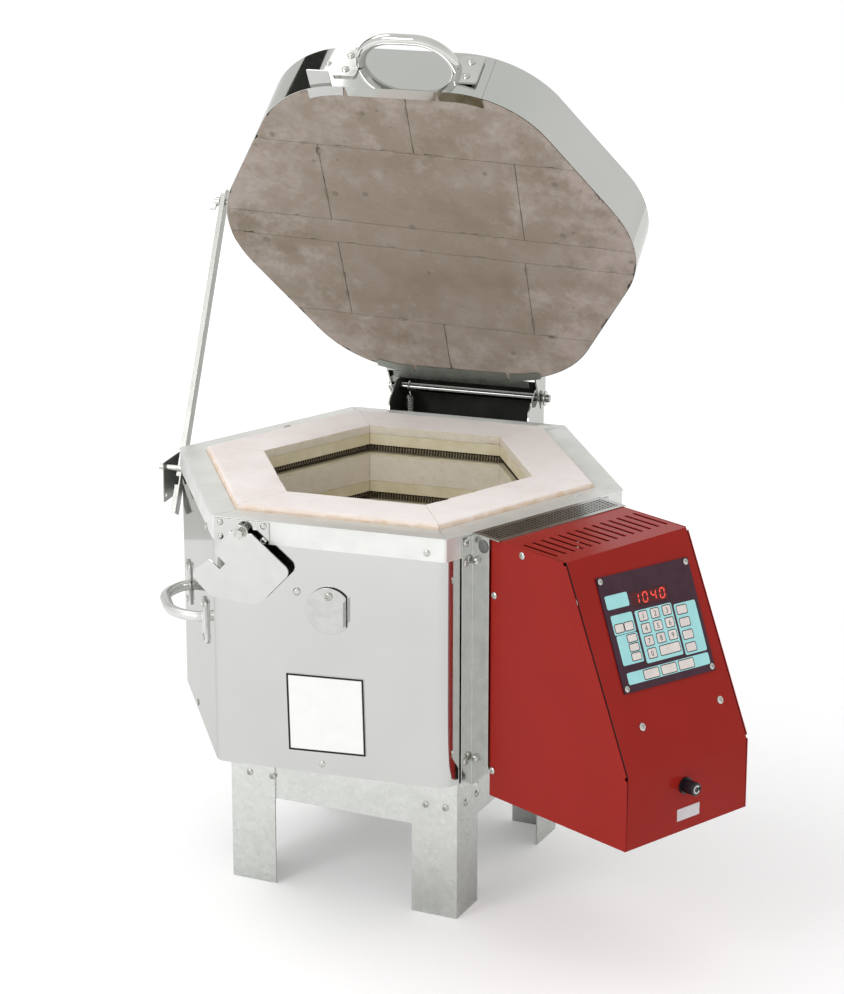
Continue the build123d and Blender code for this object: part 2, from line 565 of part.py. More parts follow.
def opened(shape):
    return shape.rotate(hinge_axis, -LID_OPEN)


lid_top = LID_Z + LID_T
front_y = -JACKET - 1.3
lid_place = Pos(8.4, 0, LID_Z + 34.5)
lid_screws = [lid_place * item for item in handle_screws(front_y, 68.6, 22.4)]
lid_screws.append(screw(-83.9, front_y - 0.05 + 2.35, LID_Z + 36, 3.4, 1.8, 1.5, 4))
lid_handle = drilled(lid_place * handle(front_y, 68.6, 21.0), lid_screws)
save("lid_handle", opened(lid_handle))
save("lid_handle_screws", *[opened(item) for item in lid_screws])

# Brick rows as (front edge, back edge, joints along x). They run three degrees off square.
LID_TURN = 3.0
slab = drilled(hexagon(JACKET - 1.0, LID_Z, lid_top, LID_R - 1.0), lid_screws)
rows = [(-260, -130.8, (-0.5,)), (-130.8, -14.2, (-112, 114)), (-14.2, 22.0, ()),
        (22.0, 140.0, (-110, 111)), (140.0, 260, (2.0,))]
lid_bricks = []
for y0, y1, joints in rows:
    edges = [-300.0] + list(joints) + [300.0]
    for x0, x1 in zip(edges[:-1], edges[1:]):
        cell = block(x0 + 0.3, x1 - 0.3, y0 + 0.3, y1 - 0.3, LID_Z - 5, lid_top + 5)
        lid_bricks.append(opened(slab & (Rot(0, 0, LID_TURN) * cell)))
band = hex_ring(JACKET, JACKET - 0.9, LID_Z + 0.5, lid_top, LID_R, LID_R - 0.9)


def band_plate(half, deep, notches):
    # sheet that follows the band over one flat, its lower edge folded inwards over the brick face
    wall = hex_ring(JACKET + 1.3, JACKET + 0.1, LID_Z - 1.1, lid_top - 2, LID_R + 1.3, LID_R + 0.1)
    fold = hex_ring(JACKET + 1.3, JACKET - deep, LID_Z - 1.1, LID_Z - 0.1, LID_R + 1.3, LID_R - deep)
    for x in notches:
        cut = Polygon((x - 1, -JACKET - 0.2), (x + 1, -JACKET - 0.2), (x + 4, -JACKET + 20),
                      (x - 4, -JACKET + 20), align=None)
        fold -= Pos(0, 0, LID_Z - 3) * extrude(cut, 4)
    return (wall + fold) & block(-half, half, -300, -150, LID_Z - 3, lid_top)


front_plate_solid = band_plate(99.0, 12.0, (-56.0, 48.0))
keeper = block(-96, -71, -JACKET - 20, -JACKET + 12, LID_Z + 1.6, LID_Z + 2.9)
keeper = keeper & hex_ring(JACKET + 24, JACKET + 0.4, LID_Z, LID_Z + 5, LID_R + 24, LID_R + 0.4)
save("lid_front_plate", opened(drilled(front_plate_solid + keeper, lid_screws)))

hinge_plate = Rot(0, 0, 180) * band_plate(101.0, 10.0, (-60.0, 55.0))
ear_side = [(JACKET - 12, LID_Z + 2), (JACKET + 8, LID_Z + 2), (HINGE_Y - 8, HINGE_Z - 10.5),
            (HINGE_Y + 6, HINGE_Z - 11.5), (HINGE_Y + 12, HINGE_Z - 4), (HINGE_Y + 12, HINGE_Z + 5),
            (JACKET - 12, lid_top - 4)]
outside = hex_ring(JACKET + 90, JACKET + 0.4, LID_Z - 20, lid_top, LID_R + 90, LID_R + 0.4)
for x0, x1 in ((-EAR_X - 1.6, -EAR_X), (EAR_X, EAR_X + 1.6)):
    hinge_plate += profile(ear_side, x0, x1) & outside
hinge_plate -= rod((-100, HINGE_Y, HINGE_Z), (100, HINGE_Y, HINGE_Z), ROD_R + 0.05)
save("lid_hinge_plate", opened(hinge_plate))

# Prop: a bolt through the left of the lid band, and the channel arm that runs down past the pin.
prop_bolt = rod((-279, PROP_Y, PROP_Z), (-232, PROP_Y, PROP_Z), 3.1)
prop_bolt += rod((-259.5, PROP_Y, PROP_Z), (-241.2, PROP_Y, PROP_Z), 5.2)
prop_bolt += rod((-275, PROP_Y, PROP_Z), (-270.2, PROP_Y, PROP_Z), 5.6)
wing = block(-279, -273, PROP_Y - 1.2, PROP_Y + 1.2, PROP_Z - 13, PROP_Z + 13)
save("prop_bolt", opened(prop_bolt + wing))
save("lid_band", opened(drilled(band, lid_screws + [prop_bolt])))
save("lid_bricks", *[drilled(item, [opened(prop_bolt)]) for item in lid_bricks])

open_angle = math.radians(LID_OPEN)
run = PROP_Y - HINGE_Y
rise = PROP_Z - HINGE_Z
pivot_y = HINGE_Y + run * math.cos(open_angle) + rise * math.sin(open_angle)
pivot_z = HINGE_Z - run * math.sin(open_angle) + rise * math.cos(open_angle)
# the arm rests against the back of the pin, so its tilt follows from the two pivots
ARM_W = 12.6
ARM_D = 6.0
ARM_T = 1.2
ARM_GAP = 0.8
to_pin = math.hypot(pivot_y - PIN_Y, pivot_z - PIN_Z)
ARM_TILT = math.degrees(math.atan2(pivot_y - PIN_Y, pivot_z - PIN_Z))
ARM_TILT -= math.degrees(math.asin((ARM_W / 2 + 3.2 + ARM_GAP) / to_pin))
arm = block(ARM_D / 2 - ARM_T, ARM_D / 2, -ARM_W / 2, ARM_W / 2, -ARM_LEN, 15.0)
arm += block(-ARM_D / 2, ARM_D / 2, -ARM_W / 2, -ARM_W / 2 + ARM_T, -ARM_LEN, 9.0)
arm += block(-ARM_D / 2, ARM_D / 2, ARM_W / 2 - ARM_T, ARM_W / 2, -ARM_LEN, 9.0)
arm -= rod((-8, 0, 0), (8, 0, 0), 3.18)
arm -= block(-ARM_D, ARM_D / 2 - ARM_T - 0.8, -ARM_W, 0, -338, -328)
arm = fillet(arm.edges().filter_by(Axis.X).sort_by(Axis.Z)[-2:], 5.5)
save("prop_arm", Pos(PROP_X, pivot_y, pivot_z) * Rot(-ARM_TILT, 0, 0) * arm)
print("prop tilt", round(ARM_TILT, 3), "pivot", round(pivot_y, 2), round(pivot_z, 2))
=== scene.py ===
# %% [markdown]
# A small six-sided test kiln: mirror-bright stainless jacket, firebrick inside, lid propped open,
# and a red control box on its right front face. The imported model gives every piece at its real
# size and place. This lesson gives it its finishes, and builds what is too fine for a
# construction model: wound wire, screw recesses, a perforated sheet and the printed keypad.

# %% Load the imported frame
import json
import math

import bmesh
import bpy
import numpy as np
from mathutils import Matrix, Vector, noise


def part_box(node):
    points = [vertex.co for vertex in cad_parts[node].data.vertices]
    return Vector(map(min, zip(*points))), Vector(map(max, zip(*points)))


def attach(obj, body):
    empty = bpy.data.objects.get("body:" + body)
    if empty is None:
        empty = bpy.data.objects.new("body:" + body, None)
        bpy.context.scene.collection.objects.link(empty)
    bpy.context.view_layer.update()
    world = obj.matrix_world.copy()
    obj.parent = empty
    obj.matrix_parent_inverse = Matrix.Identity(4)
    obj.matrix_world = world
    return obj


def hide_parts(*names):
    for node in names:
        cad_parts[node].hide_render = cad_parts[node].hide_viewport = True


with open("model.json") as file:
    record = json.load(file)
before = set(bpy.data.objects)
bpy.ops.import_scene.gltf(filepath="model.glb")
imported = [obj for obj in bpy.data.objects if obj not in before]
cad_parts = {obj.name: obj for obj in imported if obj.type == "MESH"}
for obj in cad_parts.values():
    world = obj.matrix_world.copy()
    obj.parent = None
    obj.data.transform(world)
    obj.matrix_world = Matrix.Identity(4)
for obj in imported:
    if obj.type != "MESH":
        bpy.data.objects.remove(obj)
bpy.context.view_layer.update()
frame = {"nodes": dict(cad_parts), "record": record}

NODES = frame["nodes"]
SCENE = bpy.context.scene

# %% [markdown]
# Sizes here are in millimetres, measured from the middle of the chamber floor, because that is how
# a kiln builder would measure. The floor slab gives that point in the frame. Faces of the hexagon
# are 60 degrees apart, so one matrix per face places anything that is drawn on the front.

# %% Millimetres and faces
MM = 0.001


def middle_of(node):
    low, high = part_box(node)
    return (low + high) / 2


def face_frame(k):
    """Frame of face k in metres: x along the face, y into the wall, z up. 0 is the front."""
    return Matrix.Translation(AXIS) @ Matrix.Rotation(math.radians(60 * k), 4, "Z")


AXIS = Vector((*middle_of("floor_slab").xy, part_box("floor_slab")[1].z))
print("kiln axis at", tuple(round(v, 4) for v in AXIS))

# %% [markdown]
# Colours are picked as sRGB hex values, the way a paint chart or a photograph gives them. The
# shaders work in linear light, so one function converts them. Node trees are made with one small
# function that adds a node with its settings and links.

# %% Colours and nodes
COLOUR_MIX = {"out": 2, "data_type": "RGBA"}  # makes a Mix node mix its inputs 6 and 7


def colour(text):
    """Linear RGBA of an sRGB hex colour such as #d4d5d2."""
    parts = [int(text[i:i + 2], 16) / 255 for i in (1, 3, 5)]
    return (*(p / 12.92 if p <= 0.04045 else ((p + 0.055) / 1.055) ** 2.4 for p in parts), 1.0)


def put(socket, value):
    """Sets a socket to a number, vector or hex colour, or links the output that feeds it."""
    if isinstance(value, bpy.types.NodeSocket):
        socket.id_data.links.new(value, socket)
    else:
        socket.default_value = colour(value) if isinstance(value, str) else value


def add(tree, kind, inputs=(), out=0, stops=(), **settings):
    """Adds a node and returns one of its outputs.

    Inputs come in their order, or by name or number. Stops of a ramp are (position, hex colour).
    """
    made = tree.nodes.new("ShaderNode" + kind)
    for key, value in settings.items():
        setattr(made, key, value)
    for key, value in inputs.items() if isinstance(inputs, dict) else enumerate(inputs):
        put(made.inputs[key], value)
    for i, (position, text) in enumerate(stops):
        points = made.color_ramp.elements
        point = points[i] if i < len(points) else points.new(position)
        point.position = position
        point.color = colour(text)
    return made.outputs[out] if made.outputs else made


print("#808080 is", round(colour("#808080")[0], 3), "in linear light")

# %% [markdown]
# Hardly any real surface is one flat value. Most finishes here are made in one way: soft noise of
# a real size tints the colour, another varies the roughness, and a third gives a little relief.

# %% Mottled finishes


def start_material(name, base, roughness, metallic=0.0):
    """A material with plain values. Returns it with its tree and its shader's sockets."""
    material = bpy.data.materials.new(name)
    material.use_nodes = True
    sockets = material.node_tree.nodes["Principled BSDF"].inputs
    for key, value in (("Base Color", base), ("Roughness", roughness), ("Metallic", metallic)):
        put(sockets[key], value)
    return material, material.node_tree, sockets


def grain(tree, size, detail=3.0, rough=0.55, stretch=(1, 1, 1)):
    """Noise with lumps of about size millimetres, as a value from 0 to 1."""
    place = add(tree, "TexCoord", out="Object")
    scaled = add(tree, "VectorMath", (place, stretch), operation="MULTIPLY")
    return add(tree, "TexNoise", {"Vector": scaled, "Scale": 1 / (size * MM), "Detail": detail,
                                  "Roughness": rough})


def mottled(name, base, roughness, metallic=0.0, tone=None, gloss=None, bump=None, **plain):
    """A material with up to three patterns, each led by its noise: size in mm, then detail.

    After its noise, tone has ramp stops, gloss has the noise and roughness ranges, and bump has
    depth in mm and strength. Plain values go on the shader's own sockets.
    """
    material, tree, sockets = start_material(name, base, roughness, metallic)
    if tone:
        put(sockets["Base Color"], add(tree, "ValToRGB", [grain(tree, *tone[0])], stops=tone[1:]))
    if gloss:
        put(sockets["Roughness"], add(tree, "MapRange", (grain(tree, *gloss[0]), *gloss[1:])))
    if bump:
        put(sockets["Normal"], add(tree, "Bump", {"Height": grain(tree, *bump[0]),
                                                  "Distance": bump[1] * MM, "Strength": bump[2]}))
    for key, value in plain.items():
        put(sockets[key.replace("_", " ")], value)
    return material


print("lumps of 20 mm need a noise scale of", 1 / (20 * MM))

# %% [markdown]
# The jacket, lid band and latch plate are stainless sheet with the bright annealed finish: rolled
# against polished rollers, so it mirrors like glass. But a thin sheet screwed over a blanket is
# never quite flat. One layer of very low, wide relief bends the reflections, and a faint smear of
# rougher patches stands for handling. A metal keeps the default IOR.

# %% Stainless sheet
# steel reflects less than a plain mirror where it is seen at a low angle, hence the tint
BRIGHT = mottled("bright_annealed_stainless", "#c4c5c2", 0.05, 1.0,
                 tone=((140, 2), (0.3, "#c2c3c0"), (0.7, "#c7c8c5")),
                 gloss=((60, 4), 0.3, 0.8, 0.035, 0.10),
                 bump=((190, 1), 0.5, 0.35), Specular_Tint="#e0e0de")
# the rim has the dull mill finish, scuffed by shelves and pale with brick dust
SATIN = mottled("satin_mill_stainless", "#e6e7e4", 0.42, 0.6,
                tone=((35, 4), (0.3, "#dcddda"), (0.7, "#e8e9e6")),
                gloss=((22, 5, 0.65), 0.3, 0.75, 0.36, 0.52),
                bump=((60, 2), 0.2, 0.3))
# the peephole disc has fine lines from the belt, about 0.4 mm apart, drawn 1 mm apart to show
BELT_LINES = (1.0, 2, 0.55, (0.06, 1, 1))
BRUSHED = mottled("brushed_stainless", "#c1c2bf", 0.22, 1.0,
                  tone=((9, 4), (0.3, "#babbb8"), (0.7, "#c6c7c4")),
                  gloss=(BELT_LINES, 0.2, 0.8, 0.16, 0.3),
                  bump=(BELT_LINES, 0.02, 0.5))
# the handle's tube is polished after bending, so it mirrors a little softer than sheet
TUBE = mottled("polished_tube", "#cdcdca", 0.08, 1.0,
               tone=((25, 2), (0.3, "#c8c8c5"), (0.7, "#d3d3d0")),
               gloss=((12, 3), 0.3, 0.8, 0.06, 0.14))
print(len(bpy.data.materials), "finishes")

# %% [markdown]
# Cut and folded strip is clean too, but rolled duller than the jacket, with faint marks of the die.
# The hook plate is ground, the side handle is satin, the underside of the hinge plate is a darker
# grey, and the prop and its bracket are zinc plated and dull. These finishes differ only in how grey
# and how smooth they are, so one function makes them all.

# %% Strip, plate and rod


def drawn_stainless(name, light, dark, smooth, dull):
    marks = (16, 4, 0.6)
    return mottled(name, light, smooth, 1.0, tone=(marks, (0.3, dark), (0.7, light)),
                   gloss=(marks, 0.3, 0.75, smooth, dull), bump=((70, 1), 0.2, 0.3))


HOOK = drawn_stainless("ground_stainless_plate", "#cdcecb", "#c7c8c5", 0.12, 0.2)
CHANNEL = drawn_stainless("rolled_stainless_strip", "#cecfcc", "#c4c5c2", 0.16, 0.26)
BOWED = drawn_stainless("satin_stainless_tube", "#dcdddb", "#d0d1ce", 0.34, 0.46)
GREY_UNDERSIDE = drawn_stainless("grey_underside_stainless", "#a8aca6", "#969a94", 0.26, 0.38)
ROD = drawn_stainless("drawn_hinge_rod", "#8f918d", "#838581", 0.1, 0.18)
STRIP = drawn_stainless("zinc_plated_strip", "#b2b3af", "#a2a39f", 0.34, 0.48)
BRACKET = drawn_stainless("dull_zinc_bracket", "#a3a5a1", "#949692", 0.4, 0.54)
PUNCHED = drawn_stainless("punched_stainless_sheet", "#babbb8", "#adaeab", 0.1, 0.17)
print(len(bpy.data.materials), "finishes")

# %% [markdown]
# The stand is hot-dip galvanised: zinc freezes in flat crystals 3 to 8 mm wide, each a little
# lighter or darker, with chalky stains over them. Voronoi cells have just that form, and one
# colour channel of each cell serves as its tone. Screws are zinc plated, which is finer and plain.

# %% Zinc, wire and iron
SPANGLE = 5.0

GALVANISED, tree, sockets = start_material("hot_dip_galvanised", "#d8dad6", 0.3, 1.0)
crystals = add(tree, "TexVoronoi", {"Vector": add(tree, "TexCoord", out="Object"),
                                    "Scale": 1 / (SPANGLE * MM), "Randomness": 1.0}, out="Color")
tone = add(tree, "SeparateColor", [crystals], out="Red")
zinc = add(tree, "ValToRGB", [tone], stops=((0.0, "#d2d4d0"), (0.5, "#d6d8d4"), (1.0, "#dbddd9")))
stain = add(tree, "MapRange", (grain(tree, 38, 5, 0.65), 0.45, 0.8, 0.0, 0.5))
put(sockets["Base Color"], add(tree, "Mix", {0: stain, 6: zinc, 7: "#c2c5c0"}, **COLOUR_MIX))
put(sockets["Roughness"], add(tree, "MapRange", (tone, 0.0, 1.0, 0.27, 0.34)))
put(sockets["Normal"], add(tree, "Bump", {"Height": grain(tree, 5, 3), "Distance": 0.05 * MM,
                                          "Strength": 0.3}))

# bright zinc on a screw is clean, with small spots that are duller
ZINC = mottled("zinc_plated_steel", "#c4c4c0", 0.2, 1.0,
               tone=((3, 3), (0.3, "#b5b5b0"), (0.75, "#d2d2cd")),
               gloss=((2, 2), 0.2, 0.8, 0.14, 0.32))
# painted shade: dark grey steel for the inside of a pocket or a channel, where little light gets in
PAINTED_SHADE = mottled("painted_shade_steel", "#33352f", 0.6, 0.6,
                    tone=((30, 4), (0.3, "#262823"), (0.7, "#3b3d37")),
                    gloss=((6, 3), 0.3, 0.7, 0.5, 0.7))
# resistance wire goes dull brown-grey with its first firing
WIRE = mottled("oxidised_resistance_wire", "#5d544a", 0.55, 0.6,
               tone=((4, 3), (0.3, "#4c443b"), (0.7, "#6c6154")),
               gloss=((1.5, 2), 0.2, 0.8, 0.45, 0.7))
# stamped sheets of a transformer, stacked and varnished: dark stripes drawn 0.8 mm apart
SHEETS = (0.8, 1, 0.55, (0.02, 0.02, 1))
IRON = mottled("varnished_laminations", "#4b4a48", 0.45, 0.7,
               tone=(SHEETS, (0.3, "#3b3a38"), (0.7, "#5a5956")), bump=(SHEETS, 0.1, 1.0))
print(len(bpy.data.materials), "finishes")

# %% [markdown]
# Insulating firebrick is foamed clay: light, matte and full of pores. New brick is cream. The rim
# of this kiln is pinkish white where it was sanded, and the cut outer edge stays tan. Which of the
# three shows is told by the way a face looks: up, towards the kiln's axis or away from it.

# %% Wall bricks


def pores(tree, spacing, share, width):
    """Pits in a share of the cells that lie spacing millimetres apart: 0 in a pit, 1 on the flat."""
    place = add(tree, "TexCoord", out="Object")
    cells = add(tree, "TexVoronoi", {"Vector": place, "Scale": 1 / (spacing * MM), "Randomness": 1.0})
    pick = add(tree, "SeparateColor", [cells.node.outputs["Color"]], out="Green")
    chosen = add(tree, "MapRange", (pick, 1 - share, 1.0, 0.0, width / spacing))
    pit = add(tree, "Math", (cells, chosen), operation="SUBTRACT")
    return add(tree, "MapRange", (pit, 0.0, 0.1, 0.0, 1.0))


SANDED, tree, sockets = start_material("sanded_firebrick", "#ddd2c8", 0.92)
facing = add(tree, "NewGeometry", out="Normal")
up = add(tree, "SeparateXYZ", [facing], out="Z")
away = add(tree, "VectorMath", (add(tree, "TexCoord", out="Object"), AXIS), operation="SUBTRACT")
level_away = add(tree, "VectorMath", (away, (1, 1, 0)), operation="MULTIPLY")
outward = add(tree, "VectorMath", (level_away, facing), out="Value", operation="DOT_PRODUCT")
top = add(tree, "ValToRGB", [grain(tree, 55, 5)],
          stops=((0.25, "#e8dedb"), (0.5, "#eee7e4"), (0.75, "#f2ecea")))
inner = add(tree, "ValToRGB", [grain(tree, 18, 6, 0.7)],
            stops=((0.3, "#d6ccba"), (0.55, "#e0d7c7"), (0.8, "#e7dfd1")))
edge = add(tree, "ValToRGB", [grain(tree, 14, 5)], stops=((0.3, "#d3b9a0"), (0.7, "#e6d8cb")))
specks = pores(tree, 5, 0.3, 1.2)
whole = inner
for share, cover in ((add(tree, "MapRange", (outward, -0.02, 0.02, 0.0, 1.0)), edge),
                     (add(tree, "MapRange", (up, 0.55, 0.9, 0.0, 1.0)), top),
                     (add(tree, "MapRange", (specks, 0.0, 1.0, 0.16, 0.0)), "#a8998a")):
    whole = add(tree, "Mix", {0: share, 6: whole, 7: cover}, **COLOUR_MIX)
put(sockets["Base Color"], whole)
put(sockets["Normal"], add(tree, "Bump", {"Height": specks, "Distance": 0.3 * MM, "Strength": 0.5}))
print(SANDED.name, len(tree.nodes), "nodes")

# %% [markdown]
# The lid face has taken kiln vapour, so it is grey-brown in soft clouds, with a pink-white bloom in
# ragged patches, most of it towards the rim, and a few wide pits. No vapour reaches the outside,
# which stays cream. It is told apart by the way that it faces on the open lid.

# %% Lid bricks
LID_MIDDLE = middle_of("lid_bricks")
LID_OPEN = math.radians(57.4)
LID_OUT = Vector((0, math.sin(LID_OPEN), math.cos(LID_OPEN)))

STAINED, tree, sockets = start_material("vapour_stained_firebrick", "#988b81", 0.95)
fine = grain(tree, 7, 6, 0.75)
clouds = add(tree, "ValToRGB", [grain(tree, 85, 5, 0.6)],
             stops=((0.3, "#867a6b"), (0.45, "#94887a"), (0.6, "#9c9084"), (0.75, "#aaa098")))
from_middle = add(tree, "VectorMath", (add(tree, "TexCoord", out="Object"), LID_MIDDLE), out="Value",
                  operation="DISTANCE")
near_rim = add(tree, "MapRange", (from_middle, 90 * MM, 235 * MM, 0.0, 0.2))
bloom = add(tree, "Math", (grain(tree, 48, 6, 0.68), near_rim), operation="ADD")
outward = add(tree, "VectorMath", (add(tree, "TexCoord", out="Normal"), LID_OUT), out="Value",
              operation="DOT_PRODUCT")
cream = add(tree, "ValToRGB", [grain(tree, 30, 5)],
            stops=((0.3, "#d2c5b3"), (0.55, "#ddd1c1"), (0.8, "#e6dccf")))
whole = clouds
for share, cover in ((add(tree, "MapRange", (bloom, 0.58, 0.76, 0.0, 0.85)), "#b4a8a1"),
                     (add(tree, "MapRange", (fine, 0.4, 0.72, 0.0, 0.32)), "#82766a"),
                     (add(tree, "MapRange", (pores(tree, 22, 0.35, 3.2), 0.0, 1.0, 0.55, 0.0)), "#6e6359"),
                     (add(tree, "MapRange", (outward, 0.5, 0.8, 0.0, 1.0)), cream)):
    whole = add(tree, "Mix", {0: share, 6: whole, 7: cover}, **COLOUR_MIX)
put(sockets["Base Color"], whole)
put(sockets["Normal"], add(tree, "Bump", {"Height": fine, "Distance": 0.25 * MM, "Strength": 0.6}))
print(STAINED.name, len(tree.nodes), "nodes")

# %% [markdown]
# The troughs that hold the elements are pressed and fired, so they are denser and yellower than the
# brick. The blanket behind the bricks is white ceramic fibre, all soft lumps.

# %% Ceramics
HOLDER = mottled("pressed_ceramic", "#dcd2b0", 0.75,
                 tone=((22, 5), (0.3, "#d3c8a4"), (0.7, "#e3dbc2")), bump=((1.2, 3), 0.08, 1.0))
FIBRE = mottled("ceramic_fibre_blanket", "#ebe9e2", 1.0,
                tone=((6, 6), (0.3, "#dedbd2"), (0.7, "#f2f0ea")), bump=((2.0, 5), 1.0, 1.0))
print(len(bpy.data.materials), "finishes")

# %% [markdown]
# The control box is folded steel with a red powder coat. Powder melts into a thick gloss film with
# a fine orange peel, so its colour is flat and its reflections are soft at the edges. The keypad is
# a printed polycarbonate sheet: maroon ground, pale blue fields and off-white keys.

# %% Paint, print and plastics
RED = mottled("red_powder_coat", "#97221b", 0.2,
              tone=((120, 2), (0.3, "#94211a"), (0.7, "#9a231c")),
              gloss=((30, 3), 0.3, 0.8, 0.16, 0.24), bump=((2.5, 1), 0.02, 0.1),
              Specular_IOR_Level=0.1)


def screen_print(name, light, dark, roughness=0.38):
    # ink laid through a mesh of about 0.3 mm, drawn at 0.8 mm so that it shows at all
    return mottled(name, light, roughness, tone=((18, 3), (0.35, dark), (0.7, light)),
                   bump=((0.8, 2), 0.01, 0.2), Specular_IOR_Level=0.25)


def moulded_plastic(name, light, dark, roughness):
    # spark-eroded moulds leave a matte grain of a few tenths of a millimetre
    return mottled(name, light, roughness, tone=((15, 3), (0.3, dark), (0.7, light)),
                   gloss=((5, 3), 0.3, 0.7, roughness - 0.06, roughness + 0.08),
                   bump=((0.7, 2), 0.03, 0.5))


MAROON = screen_print("maroon_overprint", "#412230", "#361829")
PALE_BLUE = screen_print("pale_blue_ink", "#a9e2e3", "#9fdadc")
KEY_WHITE = screen_print("key_white_ink", "#e6dfda", "#dcd2cd")
KEY_LINE = screen_print("dark_line_ink", "#3a2430", "#2f1a26")
LABEL_WHITE = screen_print("white_vinyl", "#f5f5f4", "#f2f2f1", 0.4)
LABEL_BLACK = screen_print("black_vinyl", "#1a1a1a", "#101010", 0.35)
LABEL_GREY = screen_print("grey_vinyl", "#d9d2d4", "#cfc7ca", 0.35)
PHENOLIC = moulded_plastic("black_phenolic", "#141620", "#0c0e15", 0.35)
RELAY_CASE = moulded_plastic("black_pbt", "#26262a", "#1c1c20", 0.5)
BOARD = moulded_plastic("green_solder_mask", "#1d4a33", "#163d2a", 0.35)
RUBBER = moulded_plastic("grey_rubber", "#6a6c68", "#565854", 0.55)
SHEATH = moulded_plastic("sintered_alumina", "#d5cbb6", "#c6bba4", 0.6)
print(len(bpy.data.materials), "finishes")

# %% [markdown]
# The number window is smoked red acrylic, which looks almost black until a segment behind it is
# lit. A segment glows a little itself. The fuse is a tube of soda-lime glass.

# %% Window, segments and glass
WINDOW = mottled("smoked_red_acrylic", "#4a0c0e", 0.12,
                 tone=((20, 2), (0.3, "#420a0c"), (0.7, "#560f11")), Specular_IOR_Level=0.3)
SEGMENT = mottled("lit_segment", "#e0392b", 0.4,
                  tone=((2, 2), (0.3, "#d8342a"), (0.7, "#e8463a")),
                  Emission_Color="#ff4a38", Emission_Strength=0.55)
GLASS = mottled("soda_lime_tube", "#e6ece8", 0.05, gloss=((4, 2), 0.3, 0.7, 0.03, 0.08),
                Transmission_Weight=0.85, IOR=1.51)
print(len(bpy.data.materials), "finishes")

# %% [markdown]
# Nodes whose shape is right keep it and only get a finish. The list says which piece is made of
# what. Each CAD node has one material slot, so one assignment dresses it.

# %% Dress the carried-over pieces
DRESS = {
    BRIGHT: ("jacket", "lid_band", "lid_front_plate", "lid_hinge_plate", "latch_base",
             "hinge_housing"),
    HOOK: ("latch_hook",),
    CHANNEL: ("wiring_channel",),
    # the wiring cover gets painted shade all over
    PAINTED_SHADE: ("wiring_cover",),
    SATIN: ("rim_cap",),
    PUNCHED: ("vent_grille",),
    BRUSHED: ("peephole_cover",),
    GALVANISED: ("stand_legs", "stand_rails", "bottom_pan"),
    STRIP: ("prop_arm",),
    BRACKET: ("prop_guide",),
    ROD: ("hinge_rod",),
    ZINC: ("jacket_screws", "stand_screws", "latch_base_screws", "latch_bolt", "side_handle_screws",
           "prop_pin", "hinge_push_nuts", "hinge_screws", "spring_anchor", "peephole_screw",
           "channel_bolts", "lid_handle_screws", "prop_bolt", "box_screws", "keypad_screws",
           "hinge_spring"),
    TUBE: ("lid_handle",),
    BOWED: ("side_handle",),
    SANDED: ("wall_bricks_upper", "wall_bricks_lower", "floor_slab"),
    STAINED: ("lid_bricks",),
    HOLDER: ("element_holders", "tail_bushings"),
    FIBRE: ("backup_insulation",),
    WIRE: ("element_tails", "heating_coils"),
    SHEATH: ("thermocouple",),
    RED: ("box_shell", "box_face"),
    MAROON: ("keypad_plate",),
    WINDOW: ("display",),
    BOARD: ("controller_board",),
    IRON: ("transformer",),
    RELAY_CASE: ("relays", "terminal_block"),
    PHENOLIC: ("fuse_holder", "fuse_cap"),
    GLASS: ("fuse_cartridge",),
    LABEL_WHITE: ("label_plate",),
    LABEL_GREY: ("rating_label",),
}
for material, names in DRESS.items():
    for name in names:
        mesh = NODES[name].data
        mesh.materials.clear()
        mesh.materials.append(material)
print("dressed", sum(len(names) for names in DRESS.values()), "pieces")

# %% [markdown]
# New pieces are meshes built in code. One helper turns a bmesh into an object: it sets the
# materials and shades soft curves smooth while edges over 35 degrees stay crisp. The imported record
# knows on which body each node rides. A new piece takes its body from the node that it stands for,
# or that it lies on. On folded sheet a narrow round edge would tilt the shading of the whole panel
# beside it, so there the normals are weighted by area, and the large faces stay flat. Copies of
# imported pieces already face the right way, so only fresh ones have their faces turned outwards.

# %% One helper for new pieces
RECORD = frame["record"]
BODY_OF = {node: body for body, nodes in RECORD["behaviour"]["bodies"].items() for node in nodes}


def piece(name, bm, materials, node, replaced=True, crisp=35, flat=False, fresh=True):
    if fresh:
        bmesh.ops.recalc_face_normals(bm, faces=bm.faces)
    mesh = bpy.data.meshes.new(name)
    bm.to_mesh(mesh)
    bm.free()
    for material in materials:
        mesh.materials.append(material)
    mesh.polygons.foreach_set("use_smooth", [True] * len(mesh.polygons))
    mesh.set_sharp_from_angle(angle=math.radians(crisp))
    made = bpy.data.objects.new(name, mesh)
    SCENE.collection.objects.link(made)
    if flat:
        made.modifiers.new("flat_panels", "WEIGHTED_NORMAL").keep_sharp = True
    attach(made, BODY_OF[node])
    if replaced:
        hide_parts(node)
    print(name, len(mesh.vertices), "points")


# %% [markdown]
# Some pieces keep their modelled form but need what a real edge has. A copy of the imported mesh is
# welded, its flat areas are joined again, and then it can be bevelled, bent or worn. Folded and
# sheared sheet never has a knife edge. A fold of 1.2 mm sheet is about as round outside as the
# sheet is thick, and that thin bright line is what shows where a box or a leg turns.

# %% Folded sheet
FOLDS = (("stand_legs", 0.8), ("stand_rails", 0.7), ("box_shell", 0.5), ("latch_base", 0.3),
         ("latch_hook", 0.45), ("peephole_cover", 0.4), ("prop_arm", 0.4), ("rim_cap", 0.35))


def welded(node, join_flats=True):
    bm = bmesh.new()
    bm.from_mesh(NODES[node].data)
    bmesh.ops.remove_doubles(bm, verts=bm.verts, dist=1e-6)
    if join_flats:
        bmesh.ops.dissolve_limit(bm, angle_limit=math.radians(1), verts=bm.verts, edges=bm.edges)
    return bm


